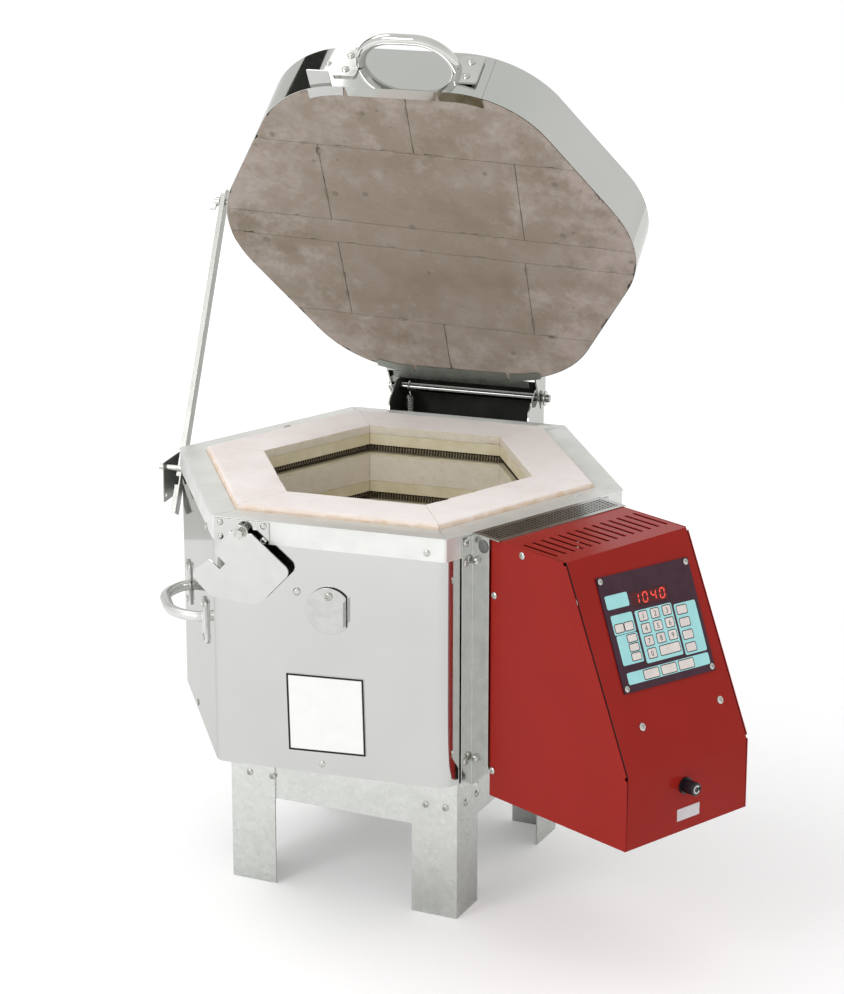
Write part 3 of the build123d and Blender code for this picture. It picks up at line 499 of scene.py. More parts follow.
def soften(bm, width):
    """Rounds every fold and cut edge by width millimetres."""
    sharp = [e for e in bm.edges if len(e.link_faces) == 2 and e.calc_face_angle(0) > math.radians(32)]
    bmesh.ops.bevel(bm, geom=sharp, offset=width * MM, offset_type="OFFSET", segments=2, profile=0.5,
                    affect="EDGES", clamp_overlap=True)


for node, width in FOLDS:
    sheet = welded(node)
    soften(sheet, width)
    piece(node + "_folded", sheet, NODES[node].data.materials, node, flat=True, fresh=False)

# %% [markdown]
# The front sheet of the box drops between the two cheeks, and along its slope a narrow joint stays
# open. Both slope ends of the copy are drawn in by a millimetre at the corners. No light falls into
# the joint, so the cut edge there gets painted shade, the dark finish.

# %% Box front sheet
SLOPE_TOP = (-362.3, 221.6)
SLOPE_FOOT = (-456.8, 12.6)
JOINT_EDGE = 88.0

box_side = face_frame(1)
front = welded("box_face")
front.transform(box_side.inverted())
for vert in front.verts:
    for y, z in (SLOPE_TOP, SLOPE_FOOT):
        if abs(vert.co.y - y * MM) < 1.5 * MM and abs(vert.co.z - z * MM) < 1.5 * MM:
            vert.co.x = max(min(vert.co.x, JOINT_EDGE * MM), -JOINT_EDGE * MM)
front.normal_update()
soften(front, 0.4)
front.normal_update()
# the cut edges in the joint get painted shade
for face in front.faces:
    spot = face.calc_center_median() / MM
    on_slope = spot.y < SLOPE_TOP[0] + 2 and SLOPE_FOOT[1] < spot.z < SLOPE_TOP[1] - 1
    face.material_index = int(on_slope and abs(spot.x) > JOINT_EDGE - 1.5 and abs(face.normal.x) > 0.3)
front.transform(box_side)
piece("box_face_folded", front, [RED, PAINTED_SHADE], "box_face", flat=True, fresh=False)

# %% [markdown]
# The wiring channel stands between jacket and box. Its outside is clean strip, and its inside gets
# painted shade, the dark finish, which is what makes the holes of the cover above it read as holes.
# Its upper end is trimmed level with the back of the box.

# %% Wiring channel
CHANNEL_HALF = 93.5
CHANNEL_T = 1.2
BOX_BACK = 252.6

channel = welded("wiring_channel")
channel.transform(box_side.inverted())
for vert in channel.verts:
    vert.co.y = max(vert.co.y, -BOX_BACK * MM)
channel.normal_update()
soften(channel, 0.5)
channel.normal_update()
# the inward faces of the channel get painted shade
for face in channel.faces:
    across = abs(face.calc_center_median().x) / MM
    face.material_index = int(abs(face.normal.x) > 0.7 and across < CHANNEL_HALF - CHANNEL_T / 2)
channel.transform(box_side)
piece("wiring_channel_folded", channel, [CHANNEL, PAINTED_SHADE], "wiring_channel", flat=True, fresh=False)

# %% [markdown]
# Firebrick is soft enough to mark with a thumbnail, so its edges are never sharp: they crumble at
# every touch. Each brick of a copy is cut across every few millimetres, and once more just inside
# each of its large faces, so that every edge has points to move. That needs each brick by itself,
# with the planes that it lies in.

# %% Cut the bricks up
CUT_STEP = 5.0
EDGE_STRIP = 2.4
LARGE_FACE = 500 * MM * MM


def islands(bm):
    """Lists of faces that hang together. A dict keeps their order, so each run is the same."""
    left = dict.fromkeys(bm.faces)
    while left:
        found = [left.popitem()[0]]
        for face in found:
            for edge in face.edges:
                for other in edge.link_faces:
                    if other in left:
                        del left[other]
                        found.append(other)
        yield found


def one_brick(faces):
    """A bmesh with only these faces, and its planes as (normal, offset, area), largest first."""
    bm = bmesh.new()
    moved = {}
    found = {}
    for face in faces:
        for v in face.verts:
            if v not in moved:
                moved[v] = bm.verts.new(v.co)
        bm.faces.new([moved[v] for v in face.verts])
        offset = face.normal.dot(face.verts[0].co)
        key = (*(round(n, 2) for n in face.normal), round(offset, 4))
        normal, place, area = found.get(key, (face.normal.copy(), offset, 0.0))
        found[key] = (normal, place, area + face.calc_area())
    return bm, sorted(found.values(), key=lambda plane: -plane[2])


def cut_up(bm, planes):
    """Cuts a brick in steps along its two long directions and inside its large faces."""
    main = planes[0][0]
    side = next(p[0] for p in planes if abs(p[0].dot(main)) < 0.1)
    cuts = []
    for way in (side, main.cross(side)):
        reach = [way.dot(v.co) for v in bm.verts]
        steps = int((max(reach) - min(reach)) / (CUT_STEP * MM))
        cuts += [(way, min(reach) + i * CUT_STEP * MM) for i in range(1, steps)]
    cuts += [(normal, offset - EDGE_STRIP * MM) for normal, offset, area in planes if area > LARGE_FACE]
    for normal, offset in cuts:
        bmesh.ops.bisect_plane(bm, geom=bm.verts[:] + bm.edges[:] + bm.faces[:], dist=1e-6,
                               plane_co=normal * offset, plane_no=normal)


slab = welded("lid_bricks")
print(len(list(islands(slab))), "bricks in the lid")
slab.free()

# %% [markdown]
# A point on an edge lies in two of the brick's planes. It is drawn in away from both, a little
# everywhere and far more where a slow noise is high: up to a millimetre on the wall, and in chips
# of several millimetres on the lid. The mitred joints of the wall fit tightly, so planes that pass
# through the kiln's axis are left out and those edges stay. Inside a joint of the lid the bricks
# are moved together, so that no light falls through.

# %% Wear the bricks
WORN = 0.12
JOINT = 0.29  # nearly half of the joint's 0.6 mm
LID_REACH = 190 * MM  # planes beyond this are the lid's outside
SLOW = 16 * MM
QUICK = 5 * MM


def wear(bm, planes, chip):
    """Draws the points on an edge in, unevenly, and lets the inside of a lid joint touch."""
    counted = [(n, d) for n, d, area in planes if abs(d - n.dot(AXIS)) > 4 * MM or abs(n.z) > 0.1]
    joints = [n for n, d in counted
              if abs(n.dot(LID_OUT)) < 0.1 and abs(d - n.dot(LID_MIDDLE)) < LID_REACH]
    for v in bm.verts:
        on = [n for n, d in counted if abs(n.dot(v.co) - d) < 0.05 * MM]
        if len(on) > 1:
            lost = noise.noise(v.co / SLOW) + 0.5 * noise.noise(v.co / QUICK)
            v.co -= sum(on, Vector()).normalized() * (WORN + chip * max(lost, 0.0) ** 2) * MM
        elif on and on[0] in joints:
            v.co += on[0] * JOINT * MM


for node, chip in (("lid_bricks", 9.0), ("wall_bricks_upper", 2.0)):
    source = welded(node)
    whole = bmesh.new()
    for faces in islands(source):
        brick, planes = one_brick(faces)
        cut_up(brick, planes)
        wear(brick, planes, chip)
        mesh = bpy.data.meshes.new("brick")
        brick.to_mesh(mesh)
        brick.free()
        whole.from_mesh(mesh)
        bpy.data.meshes.remove(mesh)
    source.free()
    piece(node + "_worn", whole, NODES[node].data.materials, node, crisp=25, fresh=False)

# %% [markdown]
# The hinge housing is a deep folded pocket. Its back rises behind the rod, up to the line of the
# lid, so the copy's back edge is drawn up by 15 mm. Outside it is bright sheet. Light hardly reaches
# the inside, so the inward faces get painted shade, the dark finish, picked by the direction that
# they look.

# %% Hinge pocket
BACK_RISE = 15.0

housing_low, housing_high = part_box("hinge_housing")
housing_middle = middle_of("hinge_housing").x
back_y = housing_high.y - 2 * MM
housing = welded("hinge_housing")
back_top = max(v.co.z for v in housing.verts if v.co.y > back_y)
for vert in housing.verts:
    if vert.co.y > back_y and vert.co.z > back_top - 1 * MM:
        vert.co.z += BACK_RISE * MM
# back, inner cheeks and foot of the pocket get painted shade
for face in housing.faces:
    spot = face.calc_center_median()
    back = face.normal.y < -0.7 and spot.y > back_y
    cheek = face.normal.x * (spot.x - housing_middle) < 0 and abs(face.normal.x) > 0.7
    foot = face.normal.z > 0.7 and spot.z < housing_low.z + 3 * MM
    face.material_index = int(back or cheek or foot)
piece("hinge_pocket", housing, [BRIGHT, PAINTED_SHADE], "hinge_housing", flat=True, fresh=False)

# %% [markdown]
# Most fresh forms are rings of points with a skin between them, such as a screw head, a key or a
# knob. A ring is laid in millimetres and put in its place by one matrix.

# %% Rings and skins


def circle(radius, height, sides):
    """Points round the local z axis."""
    turns = [2 * math.pi * i / sides for i in range(sides)]
    return [Vector((radius * math.cos(a), radius * math.sin(a), height)) for a in turns]


def laid(bm, place, points):
    """New points of a mesh, given in millimetres of the frame place."""
    return [bm.verts.new(place @ (Vector(p) * MM)) for p in points]


def skin(bm, rings, material=0):
    """Joins each ring to the next one with four-sided faces."""
    for low, high in zip(rings, rings[1:]):
        for i in range(len(low)):
            bm.faces.new((low[i - 1], low[i], high[i], high[i - 1])).material_index = material


print("a ring of 32 sides strays by", round(1 - math.cos(math.pi / 32), 4), "of its radius")

# %% [markdown]
# The lid's hinge plate is folded round the edge of the lid. Its lip over the brick is narrow, and
# between the cheeks of the pocket a second lip runs out towards the rod, which closes the gap that
# heat would take. The lid is stored open, so the work is done on a copy turned shut about the rod,
# where the sheet lies square, and the copy is turned open again. Its low faces that don't look up are
# darker grey.

# %% Hinge plate
JACKET = 225.0
LIP_IN = 4.5
LIP_OUT = 11.5
LIP_HALF = 83.5
LIP_T = 1.0

rod = middle_of("hinge_rod")
OPEN = Matrix.Translation(rod) @ Matrix.Rotation(-LID_OPEN, 4, "X") @ Matrix.Translation(-rod)
plate = welded("lid_hinge_plate")
plate.transform(OPEN.inverted())
lip_low = min(v.co.z for v in plate.verts if abs(v.co.x - AXIS.x) < 80 * MM)
lip_edge = min(v.co.y for v in plate.verts)
for vert in plate.verts:
    if vert.co.z < lip_low + 1.2 * MM and vert.co.y < lip_edge + 1 * MM:
        vert.co.y += LIP_IN * MM
lip_from = Matrix.Translation((AXIS.x, AXIS.y + (JACKET + 1.2) * MM, lip_low))
low, high = (laid(plate, lip_from, ((-LIP_HALF, 0, z), (LIP_HALF, 0, z), (LIP_HALF, LIP_OUT, z),
                                    (-LIP_HALF, LIP_OUT, z))) for z in (0, LIP_T))
skin(plate, (low, high))
plate.faces.new(reversed(low))
plate.faces.new(high)
plate.normal_update()
for face in plate.faces:
    low_face = face.calc_center_median().z < lip_low + 2 * MM
    face.material_index = int(low_face and face.normal.z < 0.5)
plate.transform(OPEN)
piece("hinge_plate_lipped", plate, [BRIGHT, GREY_UNDERSIDE], "lid_hinge_plate", fresh=False)

# %% [markdown]
# The side handle is a bowed tube with a satin finish. Its bow is a little flatter than the packed
# one, so the outer part of a copy is drawn in by 5.5 mm, most at the middle and none at the pads.

# %% Side handle
BOW_IN = 5.5

bow = welded("side_handle", join_flats=False)
bow.transform(face_frame(-1).inverted())
for vert in bow.verts:
    out = -vert.co.y / MM - JACKET
    part = min(max((out - 4) / 24, 0.0), 1.0)
    vert.co.y += BOW_IN * MM * part * part * (3 - 2 * part)
bow.transform(face_frame(-1))
piece("bowed_side_handle", bow, [BOWED], "side_handle", fresh=False)

# %% [markdown]
# Screws catch the eye because light breaks in their recess. The model has each as a plain drum, so
# the place, direction and size of every head are read from it: weld the mesh, split it into
# separate screws, and the largest flat face of each is the top of its head.

# %% Find the heads


def heads_of(node):
    """(middle of the head's top, outward direction, radius, height) of each screw of a node."""
    bm = welded(node, join_flats=False)
    found = []
    for faces in islands(bm):
        flats = {}
        for face in faces:
            plane = round(face.normal.dot(face.verts[0].co), 4)
            key = (*(round(v, 2) for v in face.normal), plane)
            flats.setdefault(key, []).append(face)
        top = max(flats.values(), key=lambda group: sum(f.calc_area() for f in group))
        area = sum(f.calc_area() for f in top)
        middle = sum((f.calc_center_median() * f.calc_area() for f in top), Vector()) / area
        normal = top[0].normal.copy()
        radius = max((v.co - middle).length for f in top for v in f.verts)
        height = 0.0
        for away in (v.co - middle for f in faces for v in f.verts):
            drop = -away.dot(normal)
            if (away + drop * normal).length > 0.9 * radius:
                height = max(height, drop)
        found.append((middle, normal, radius / MM, height / MM))
    bm.free()
    return sorted(found, key=lambda item: tuple(round(v, 4) for v in item[0]))


print(len(heads_of("jacket_screws")), "screws on the jacket")

# %% [markdown]
# A domed head is turned on each spot as a polar grid of rings, and the grid is pushed in where a
# cross recess is cut. Every screw stops at its own angle, as screws do.

# %% Domed heads
HEAD_SIDES = 32
HEAD_RINGS = 9
# shares of the head's height and radius
DOME = 0.62
RECESS_DEPTH = 0.45
RECESS_REACH = 0.62
RECESS_ARM = 0.15
SCREWS = ("jacket_screws", "latch_base_screws", "side_handle_screws", "hinge_screws",
          "channel_bolts", "stand_screws", "peephole_screw", "box_screws", "keypad_screws",
          "lid_handle_screws")
WITHOUT_CROSS = ("jacket_screws", "latch_base_screws", "lid_handle_screws")


def domed_head(bm, middle, normal, radius, height, cross, turn):
    place = Matrix.Translation(middle) @ normal.to_track_quat("Z", "Y").to_matrix().to_4x4()
    place = place @ Matrix.Rotation(turn, 4, "Z")
    centre = laid(bm, place, [(0, 0, -0.5 * height if cross else 0.0)])[0]
    rings = []
    for k in range(1, HEAD_RINGS + 1):
        r = radius * k / HEAD_RINGS
        points = circle(r, -DOME * height * (k / HEAD_RINGS) ** 3.2, HEAD_SIDES)
        for p in points if cross and r < RECESS_REACH * radius else ():
            if min(abs(p.x), abs(p.y)) < RECESS_ARM * radius:
                p.z -= RECESS_DEPTH * height
        rings.append(laid(bm, place, points))
    rings.append(laid(bm, place, circle(radius, -height, HEAD_SIDES)))
    for i in range(HEAD_SIDES):
        bm.faces.new((centre, rings[0][i - 1], rings[0][i]))
    skin(bm, rings)
    bm.faces.new(rings[-1])


for node in SCREWS:
    screws = bmesh.new()
    for number, head in enumerate(heads_of(node)):
        domed_head(screws, *head, node not in WITHOUT_CROSS, 0.4 + 1.1 * number)
    piece(node + "_domed", screws, [ZINC], node, crisp=28)

# %% [markdown]
# A round rubber plug closes a spare hole in the cheek of the channel. Its form is a flat dome, so
# the screw head serves again, plain and larger.

# %% Channel plug
PLUG_R = 7.2
PLUG_T = 2.0
PLUG_TOP = (-CHANNEL_HALF - PLUG_T, -244.3, 211.0)

plug = bmesh.new()
outwards = box_side.to_3x3() @ Vector((-1, 0, 0))
domed_head(plug, box_side @ (Vector(PLUG_TOP) * MM), outwards, PLUG_R, PLUG_T, False, 0.0)
piece("channel_plug", plug, [RUBBER], "relays", replaced=False)

# %% [markdown]
# The elements are wound wire, laid in the ceramic troughs as one hexagonal run per row. A helix is
# walked along the hexagon with rounded corners: at each step the tube's middle turns about the
# path. Wire and winding come from the photograph: about 3.4 mm from turn to turn.

# %% Path of the elements
COIL_OFF = 144.0  # from the kiln's axis to the middle of the coil
CORNER_R = 7.0
WINDING = 3.4
STEPS_PER_TURN = 10
STEP = WINDING / STEPS_PER_TURN
TAIL_GAP = 16.0


def hexagon_path():
    """Points and directions along a hexagon with round corners, in steps of the winding."""
    half = COIL_OFF / math.sqrt(3) - CORNER_R * math.tan(math.radians(30))
    points = []
    for k in range(6):
        turn = Matrix.Rotation(math.radians(60 * (k + 1)), 3, "Z")
        count = round(2 * half / STEP)
        for i in range(count):
            x = -half + 2 * half * i / count
            points.append((turn @ Vector((x, -COIL_OFF, 0)), turn @ Vector((1, 0, 0))))
        steps = round(CORNER_R * math.pi / 3 / STEP)
        for i in range(steps):
            a = math.radians(60) * i / steps
            corner = Vector((half + CORNER_R * math.sin(a), -COIL_OFF + CORNER_R * (1 - math.cos(a)), 0))
            points.append((turn @ corner, turn @ Vector((math.cos(a), math.sin(a), 0))))
    return points


path = hexagon_path()
first = round((COIL_OFF / math.sqrt(3)) / STEP)
gap = round(TAIL_GAP / STEP)
path = path[first + gap:] + path[:first - gap]
print("each row is", round(len(path) * STEP), "mm long, with a gap at the box for its tails")

# %% [markdown]
# A wire is a tube of few sides round its middle line. Thousands of turns are too many for a loop
# over points, so the rings are worked out with arrays, and faces join each ring to the next.

# %% Wires


def tube_mesh(points, radius, sides):
    """Corners and faces of a round wire through points, in metres."""
    centre = np.array(points)
    along = np.gradient(centre, axis=0)
    along /= np.linalg.norm(along, axis=1)[:, None]
    side = np.cross(along, [0.31, 0.17, 0.93])
    side /= np.linalg.norm(side, axis=1)[:, None]
    other = np.cross(along, side)
    turns = [2 * math.pi * i / sides for i in range(sides)]
    rings = [centre + radius * (math.cos(a) * side + math.sin(a) * other) for a in turns]
    corners = np.stack(rings, axis=1).reshape(-1, 3)
    last = (len(centre) - 1) * sides
    faces = [tuple(range(sides)), tuple(range(last, last + sides))]
    for n in range(0, last, sides):
        for i in range(sides):
            j = (i + 1) % sides
            faces.append((n + i, n + j, n + sides + j, n + sides + i))
    return corners, faces


def wires(name, runs, radius, sides, material, node):
    corners = []
    faces = []
    for run in runs:
        found, joined = tube_mesh(run, radius, sides)
        base = sum(len(c) for c in corners)
        corners.append(found)
        faces += [tuple(base + i for i in face) for face in joined]
    mesh = bpy.data.meshes.new(name)
    mesh.from_pydata(np.concatenate(corners).tolist(), [], faces)
    bm = bmesh.new()
    bm.from_mesh(mesh)
    bpy.data.meshes.remove(mesh)
    piece(name, bm, [material], node, crisp=60)


print(len(path), "rings of points go round each row")

# %% [markdown]
# There are four rows of winding, one above the other, and the model's plain coils say how high the
# lowest and the highest lie. At each step of the path the wire has gone a tenth of a turn further
# round it.

# %% Wound elements
ROWS = 4
COIL_R = 3.7
WIRE_R = 0.75
WIRE_SIDES = 5
PLAIN_COIL = 9.0  # height of the square coil that stands for a row in the model

coil_low, coil_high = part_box("heating_coils")
row_step = (coil_high.z - coil_low.z - PLAIN_COIL * MM) / (ROWS - 1)
coil_runs = []
for row in range(ROWS):
    middle = Vector((AXIS.x, AXIS.y, coil_low.z + PLAIN_COIL / 2 * MM + row * row_step))
    run = []
    for step, (spot, along) in enumerate(path):
        a = 2 * math.pi * step / STEPS_PER_TURN
        out = Vector((along.y * math.cos(a), -along.x * math.cos(a), math.sin(a)))
        run.append(tuple(middle + (spot + out * COIL_R) * MM))
    coil_runs.append(run)
wires("wound_elements", coil_runs, WIRE_R * MM, WIRE_SIDES, WIRE, "heating_coils")

# %% [markdown]
# The hinge spring is wound in the same way, close turns on a straight axis, with an eye at each
# end that goes round the hinge rod and the anchor bar. Its place comes from the plain tube that
# stands for it in the model.

# %% Hinge spring
SPRING_WIRE = 0.9
SPRING_R = 5.6
SPRING_PITCH = 2.1
SPRING_STEPS = 14
spring_x = middle_of("hinge_spring").x
bar_z = middle_of("spring_anchor").z


def eye(z, radius, start, stop):
    """Part of a loop round a bar that runs along x."""
    turns = [math.radians(start + (stop - start) * i / 24) for i in range(25)]
    return [(spring_x, rod.y + radius * MM * math.cos(a), z + radius * MM * math.sin(a)) for a in turns]


first_z = bar_z + 7 * MM
last_z = rod.z - 11 * MM
turns = (last_z - first_z) / (SPRING_PITCH * MM)
steps = int(turns * SPRING_STEPS)
wound = []
for i in range(steps + 1):
    a = 2 * math.pi * turns * i / steps
    r = (SPRING_R - SPRING_WIRE) * MM * min(1.0, max(min(i, steps - i) / 10, 0.25))
    wound.append((spring_x + r * math.cos(a), rod.y + r * math.sin(a),
                  first_z + (last_z - first_z) * i / steps))
spring_run = eye(bar_z, 3.2, -240, 80) + wound + eye(rod.z, 6.0, -80, 240)
wires("wound_spring", [spring_run], SPRING_WIRE * MM, 8, ZINC, "hinge_spring")

# %% [markdown]
# The cover between jacket and box is perforated sheet. Punching hundreds of holes with booleans
# would be slow, so the sheet is tiled: each cell is a square with an eight-sided hole, top, bottom
# and hole wall. The holes are 3.4 mm on a 4.2 mm pitch, read from the photograph. The walls of the
# holes get painted shade, the dark finish, because they only see the inside of the channel.

# %% Perforated sheet
HOLE_R = 1.7
PITCH = 4.2
HOLES_DEEP = 7
SIDE_MARGIN = 4.0
FAR_MARGIN = 5.5
NEAR = -227.4
FAR = -268.0
grille_low, grille_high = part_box("vent_grille")
LEVELS = [(z - AXIS.z) / MM for z in (grille_high.z, grille_low.z)]

cover = bmesh.new()
columns = int(2 * (CHANNEL_HALF - SIDE_MARGIN) / PITCH)
x0 = -columns * PITCH / 2
x1 = x0 + columns * PITCH
y0 = FAR + FAR_MARGIN
y1 = y0 + HOLES_DEEP * PITCH
for i in range(columns):
    for j in range(HOLES_DEEP):
        middle = Vector((x0 + PITCH * (i + 0.5), y0 + PITCH * (j + 0.5), 0))
        holes = []
        for z in LEVELS:
            square = [p / max(abs(p.x), abs(p.y)) * PITCH / 2 for p in circle(1.0, 0.0, 8)]
            rim = laid(cover, box_side, [middle + Vector((p.x, p.y, z)) for p in square])
            holes.append(laid(cover, box_side, [middle + p for p in circle(HOLE_R, z, 8)]))
            skin(cover, (rim, holes[-1]))
        # the hole walls get painted shade
        skin(cover, holes, 1)
for xa, xb, ya, yb in ((-CHANNEL_HALF, x0, FAR, NEAR), (x1, CHANNEL_HALF, FAR, NEAR),
                       (x0, x1, FAR, y0), (x0, x1, y1, NEAR)):
    for z in LEVELS:
        cover.faces.new(laid(cover, box_side, ((xa, ya, z), (xb, ya, z), (xb, yb, z), (xa, yb, z))))
outline = ((-CHANNEL_HALF, FAR), (CHANNEL_HALF, FAR), (CHANNEL_HALF, NEAR), (-CHANNEL_HALF, NEAR))
skin(cover, [laid(cover, box_side, [(x, y, z) for x, y in outline]) for z in LEVELS])
bmesh.ops.remove_doubles(cover, verts=cover.verts, dist=1e-6)
piece("perforated_cover", cover, [PUNCHED, PAINTED_SHADE], "vent_grille", crisp=20)

# %% [markdown]
# The keypad is print on one sheet. Each field and key is a very thin raised layer with round
# corners, a tenth of a millimetre over the one below, as thick ink is. The pad has its own frame
# on the slope of the box, and it sits a little askew, as the real one does.

# %% Keypad print
PAD_FACE = -1.65
BETA = math.atan2(SLOPE_TOP[0] - SLOPE_FOOT[0], SLOPE_TOP[1] - SLOPE_FOOT[1])


def shift(x, y, z):
    return Matrix.Translation(Vector((x, y, z)) * MM)


SLOPE = box_side @ shift(0, *SLOPE_TOP) @ Matrix.Rotation(-BETA, 4, "X")
PAD = SLOPE @ shift(7, 0, -88) @ Matrix.Rotation(math.radians(2.5), 4, "Y")
# x and z ranges of the pale fields
FIELDS = ((-61.5, -29.8, 26.2, 40.8), (-60, -29.6, -1, 19.8), (-58.8, -29.2, -33, -1.6),
          (-26, 27, -36.5, 19), (30, 61.5, -38.5, 16), (-57.5, 61.3, -53.3, -40.8))
# blocks of keys: x, z, columns, rows, steps from key to key, width, height
BLOCKS = ((-21, 7.6, 3, 3, 17.2, 13.2, 11.2, 9.4), (-21, -32, 1, 1, 0, 0, 11.2, 9.4),
          (-3.8, -32, 1, 1, 0, 0, 28.4, 9.4), (-57.4, 1.6, 2, 1, 13.6, 0, 11.6, 8.2),
          (-44.2, -10.6, 1, 3, 0, 9.7, 12.6, 7.2), (33.2, 4.8, 1, 4, 0, 13.4, 13.8, 8.4),
          (-34.0, -51.6, 3, 1, 25.5, 0, 21.0, 9.0))
KEYS = [(x + i * dx, z - j * dz, w, h) for x, z, across, down, dx, dz, w, h in BLOCKS
        for j in range(down) for i in range(across)]


def layer(bm, x0, x1, z0, z1, corner, lift, material=0):
    """A thin raised patch with round corners on the pad, in the pad's millimetres."""
    ring = []
    for cx, cz, start in ((x1 - corner, z1 - corner, 0), (x0 + corner, z1 - corner, 90),
                          (x0 + corner, z0 + corner, 180), (x1 - corner, z0 + corner, 270)):
        for a in (math.radians(start + 22.5 * i) for i in range(5)):
            ring.append((cx + corner * math.cos(a), cz + corner * math.sin(a)))
    top, low = (laid(bm, PAD, [(x, y, z) for x, z in ring]) for y in (PAD_FACE - lift, PAD_FACE + 0.02))
    bm.faces.new(top).material_index = material
    skin(bm, (top, low), material)


pad_print = bmesh.new()
for x0, x1, z0, z1 in FIELDS:
    layer(pad_print, x0, x1, z0, z1, 2.0, 0.10, 0)
for x, z, w, h in KEYS:
    layer(pad_print, x - 0.9, x + w + 0.9, z - 0.9, z + h + 0.9, 1.8, 0.16, 2)
    layer(pad_print, x, x + w, z, z + h, 1.2, 0.24, 1)
piece("keypad_print", pad_print, [PALE_BLUE, KEY_WHITE, KEY_LINE], "keypad_plate", replaced=False)

# %% [markdown]
# Ten keys carry a plain figure. Blender's own text makes them: the text is turned into a flat mesh,
# stood up on the pad, and the text object is thrown away.

# %% Key figures
FIGURE_H = 8.0

figures = bmesh.new()
for number in range(10):
    x, z, w, h = KEYS[number - 1] if number else KEYS[9]
    drawn = bpy.data.curves.new("figure", "FONT")
    drawn.body = str(number)
    drawn.size = FIGURE_H * MM
    drawn.align_x = "CENTER"
    drawn.resolution_u = 3
    holder = bpy.data.objects.new("figure", drawn)
    mesh = bpy.data.meshes.new_from_object(holder)
    bpy.data.objects.remove(holder)
    bpy.data.curves.remove(drawn)
    place = PAD @ shift(x + w / 2, PAD_FACE - 0.27, z + 1.8)
    mesh.transform(place @ Matrix.Rotation(math.pi / 2, 4, "X"))
    figures.from_mesh(mesh)
    bpy.data.meshes.remove(mesh)
piece("keypad_figures", figures, [KEY_LINE], "keypad_plate", replaced=False)

# %% [markdown]
# A seven-segment figure has three level bars and four upright ones. Each bar is a slim six-sided
# tile, and the figure leans back a little, as such displays do. Only plain numerals are lit.

# %% Number window
SEGMENTS = {"1": "bc", "0": "abcdef", "4": "bcfg"}
BARS = {"a": (0, 1, 0), "b": (0.5, 0.5, 1), "c": (0.5, -0.5, 1), "d": (0, -1, 0),
        "e": (-0.5, -0.5, 1), "f": (-0.5, 0.5, 1), "g": (0, 0, 0)}
BAR_ACROSS = 6.2
BAR_UP = 5.0
BAR_T = 0.75
BAR_FACES = (-1.42, -1.27)
FIRST_X = -18.1
FIGURE_STEP = 12.4
MIDDLE_Z = 30.8
LEAN = 0.1

window = bmesh.new()
for number, figure in enumerate("1040"):
    middle_x = FIRST_X + FIGURE_STEP * number
    for key in SEGMENTS[figure]:
        bx, bz, upright = BARS[key]
        long = (BAR_UP if upright else BAR_ACROSS) / 2 - 0.4
        tile = []
        for u, v in ((-long, 0), (-long + BAR_T, BAR_T), (long - BAR_T, BAR_T), (long, 0),
                     (long - BAR_T, -BAR_T), (-long + BAR_T, -BAR_T)):
            x, z = (v, u) if upright else (u, v)
            x += bx * BAR_ACROSS
            z += bz * BAR_UP
            tile.append((middle_x + x + LEAN * z, MIDDLE_Z + z))
        front, back = (laid(window, PAD, [(x, y, z) for x, z in tile]) for y in BAR_FACES)
        window.faces.new(front)
        window.faces.new(back)
        skin(window, (front, back))
piece("lit_figures", window, [SEGMENT], "display", replaced=False)

# %% [markdown]
# The fuse cap is a moulded knob with a fluted side for grip and a rounded rim. Its rings have
# six points to a flute, drawn in by a cosine. The end is a black dish, and an open zinc ring in it,
# one side sunk out of sight, is a painted highlight on the black end. It turns and pulls out, so it has
# its own body.

# %% Fuse cap
FLUTES = 20
FLUTE_POINTS = 6
FLUTE_DEPTH = 0.42
FUSE = box_side @ shift(-4.6, SLOPE_FOOT[0], -16.2) @ Matrix.Rotation(math.pi / 2, 4, "X")

KNOB = ((4.6, 2.7, 0), (7.0, 2.7, 0), (7.3, 3.2, 1), (7.3, 15.6, 1), (6.9, 17.0, 0.4),
        (6.0, 17.6, 0))  # radius, height, share of the flutes
DISH = ((6.0, 17.6), (5.0, 17.6), (4.9, 16.9), (0.05, 16.9))
# the open zinc ring is a painted highlight on the cap's black end
GLINT_RING = ((4.8, 16.9), (4.7, 17.4), (3.1, 17.4), (3.0, 16.9))
STEM = ((4.5, 2.75), (4.5, -4.0))


def turned(profile, sides, material=0):
    """Turns a profile of (radius, height) about the fuse and gives back its rings."""
    rings = [laid(cap, FUSE, circle(radius, height, sides)) for radius, height in profile]
    skin(cap, rings, material)
    return rings


cap = bmesh.new()
fluted = []
for radius, height, share in KNOB:
    points = circle(radius, height, FLUTES * FLUTE_POINTS)
    for i, p in enumerate(points):
        wave = 0.5 - 0.5 * math.cos(2 * math.pi * i / FLUTE_POINTS)
        p.xy *= 1 - share * FLUTE_DEPTH * wave / radius
    fluted.append(laid(cap, FUSE, points))
skin(cap, fluted)
cap.faces.new(fluted[0])
turned(DISH, 48)
# one side of the painted highlight ring is sunk, so it shows as an open arc
for ring in turned(GLINT_RING, 48, 1):
    for v in ring:
        local = FUSE.inverted() @ v.co
        if local.x > 0 and abs(local.y) < 1.8 * MM:
            v.co = FUSE @ Vector((local.x, local.y, 16.8 * MM))
for ring in turned(STEM, 32):
    cap.faces.new(ring)
piece("fluted_fuse_cap", cap, [PHENOLIC, ZINC], "fuse_cap", crisp=32)

# %% [markdown]
# The front label is bare, but its black printed frame is part of how the kiln looks. The frame is
# four thin strips in one closed ring, a tenth of a millimetre over the plate.

# %% Label frame
LABEL = face_frame(0) @ shift(-3.8, -JACKET - 1.3, 11.0) @ Matrix.Rotation(math.radians(-1.5), 4, "Y")
LABEL_HALF = 43.9
LINE = 2.2
LIFT = 0.12

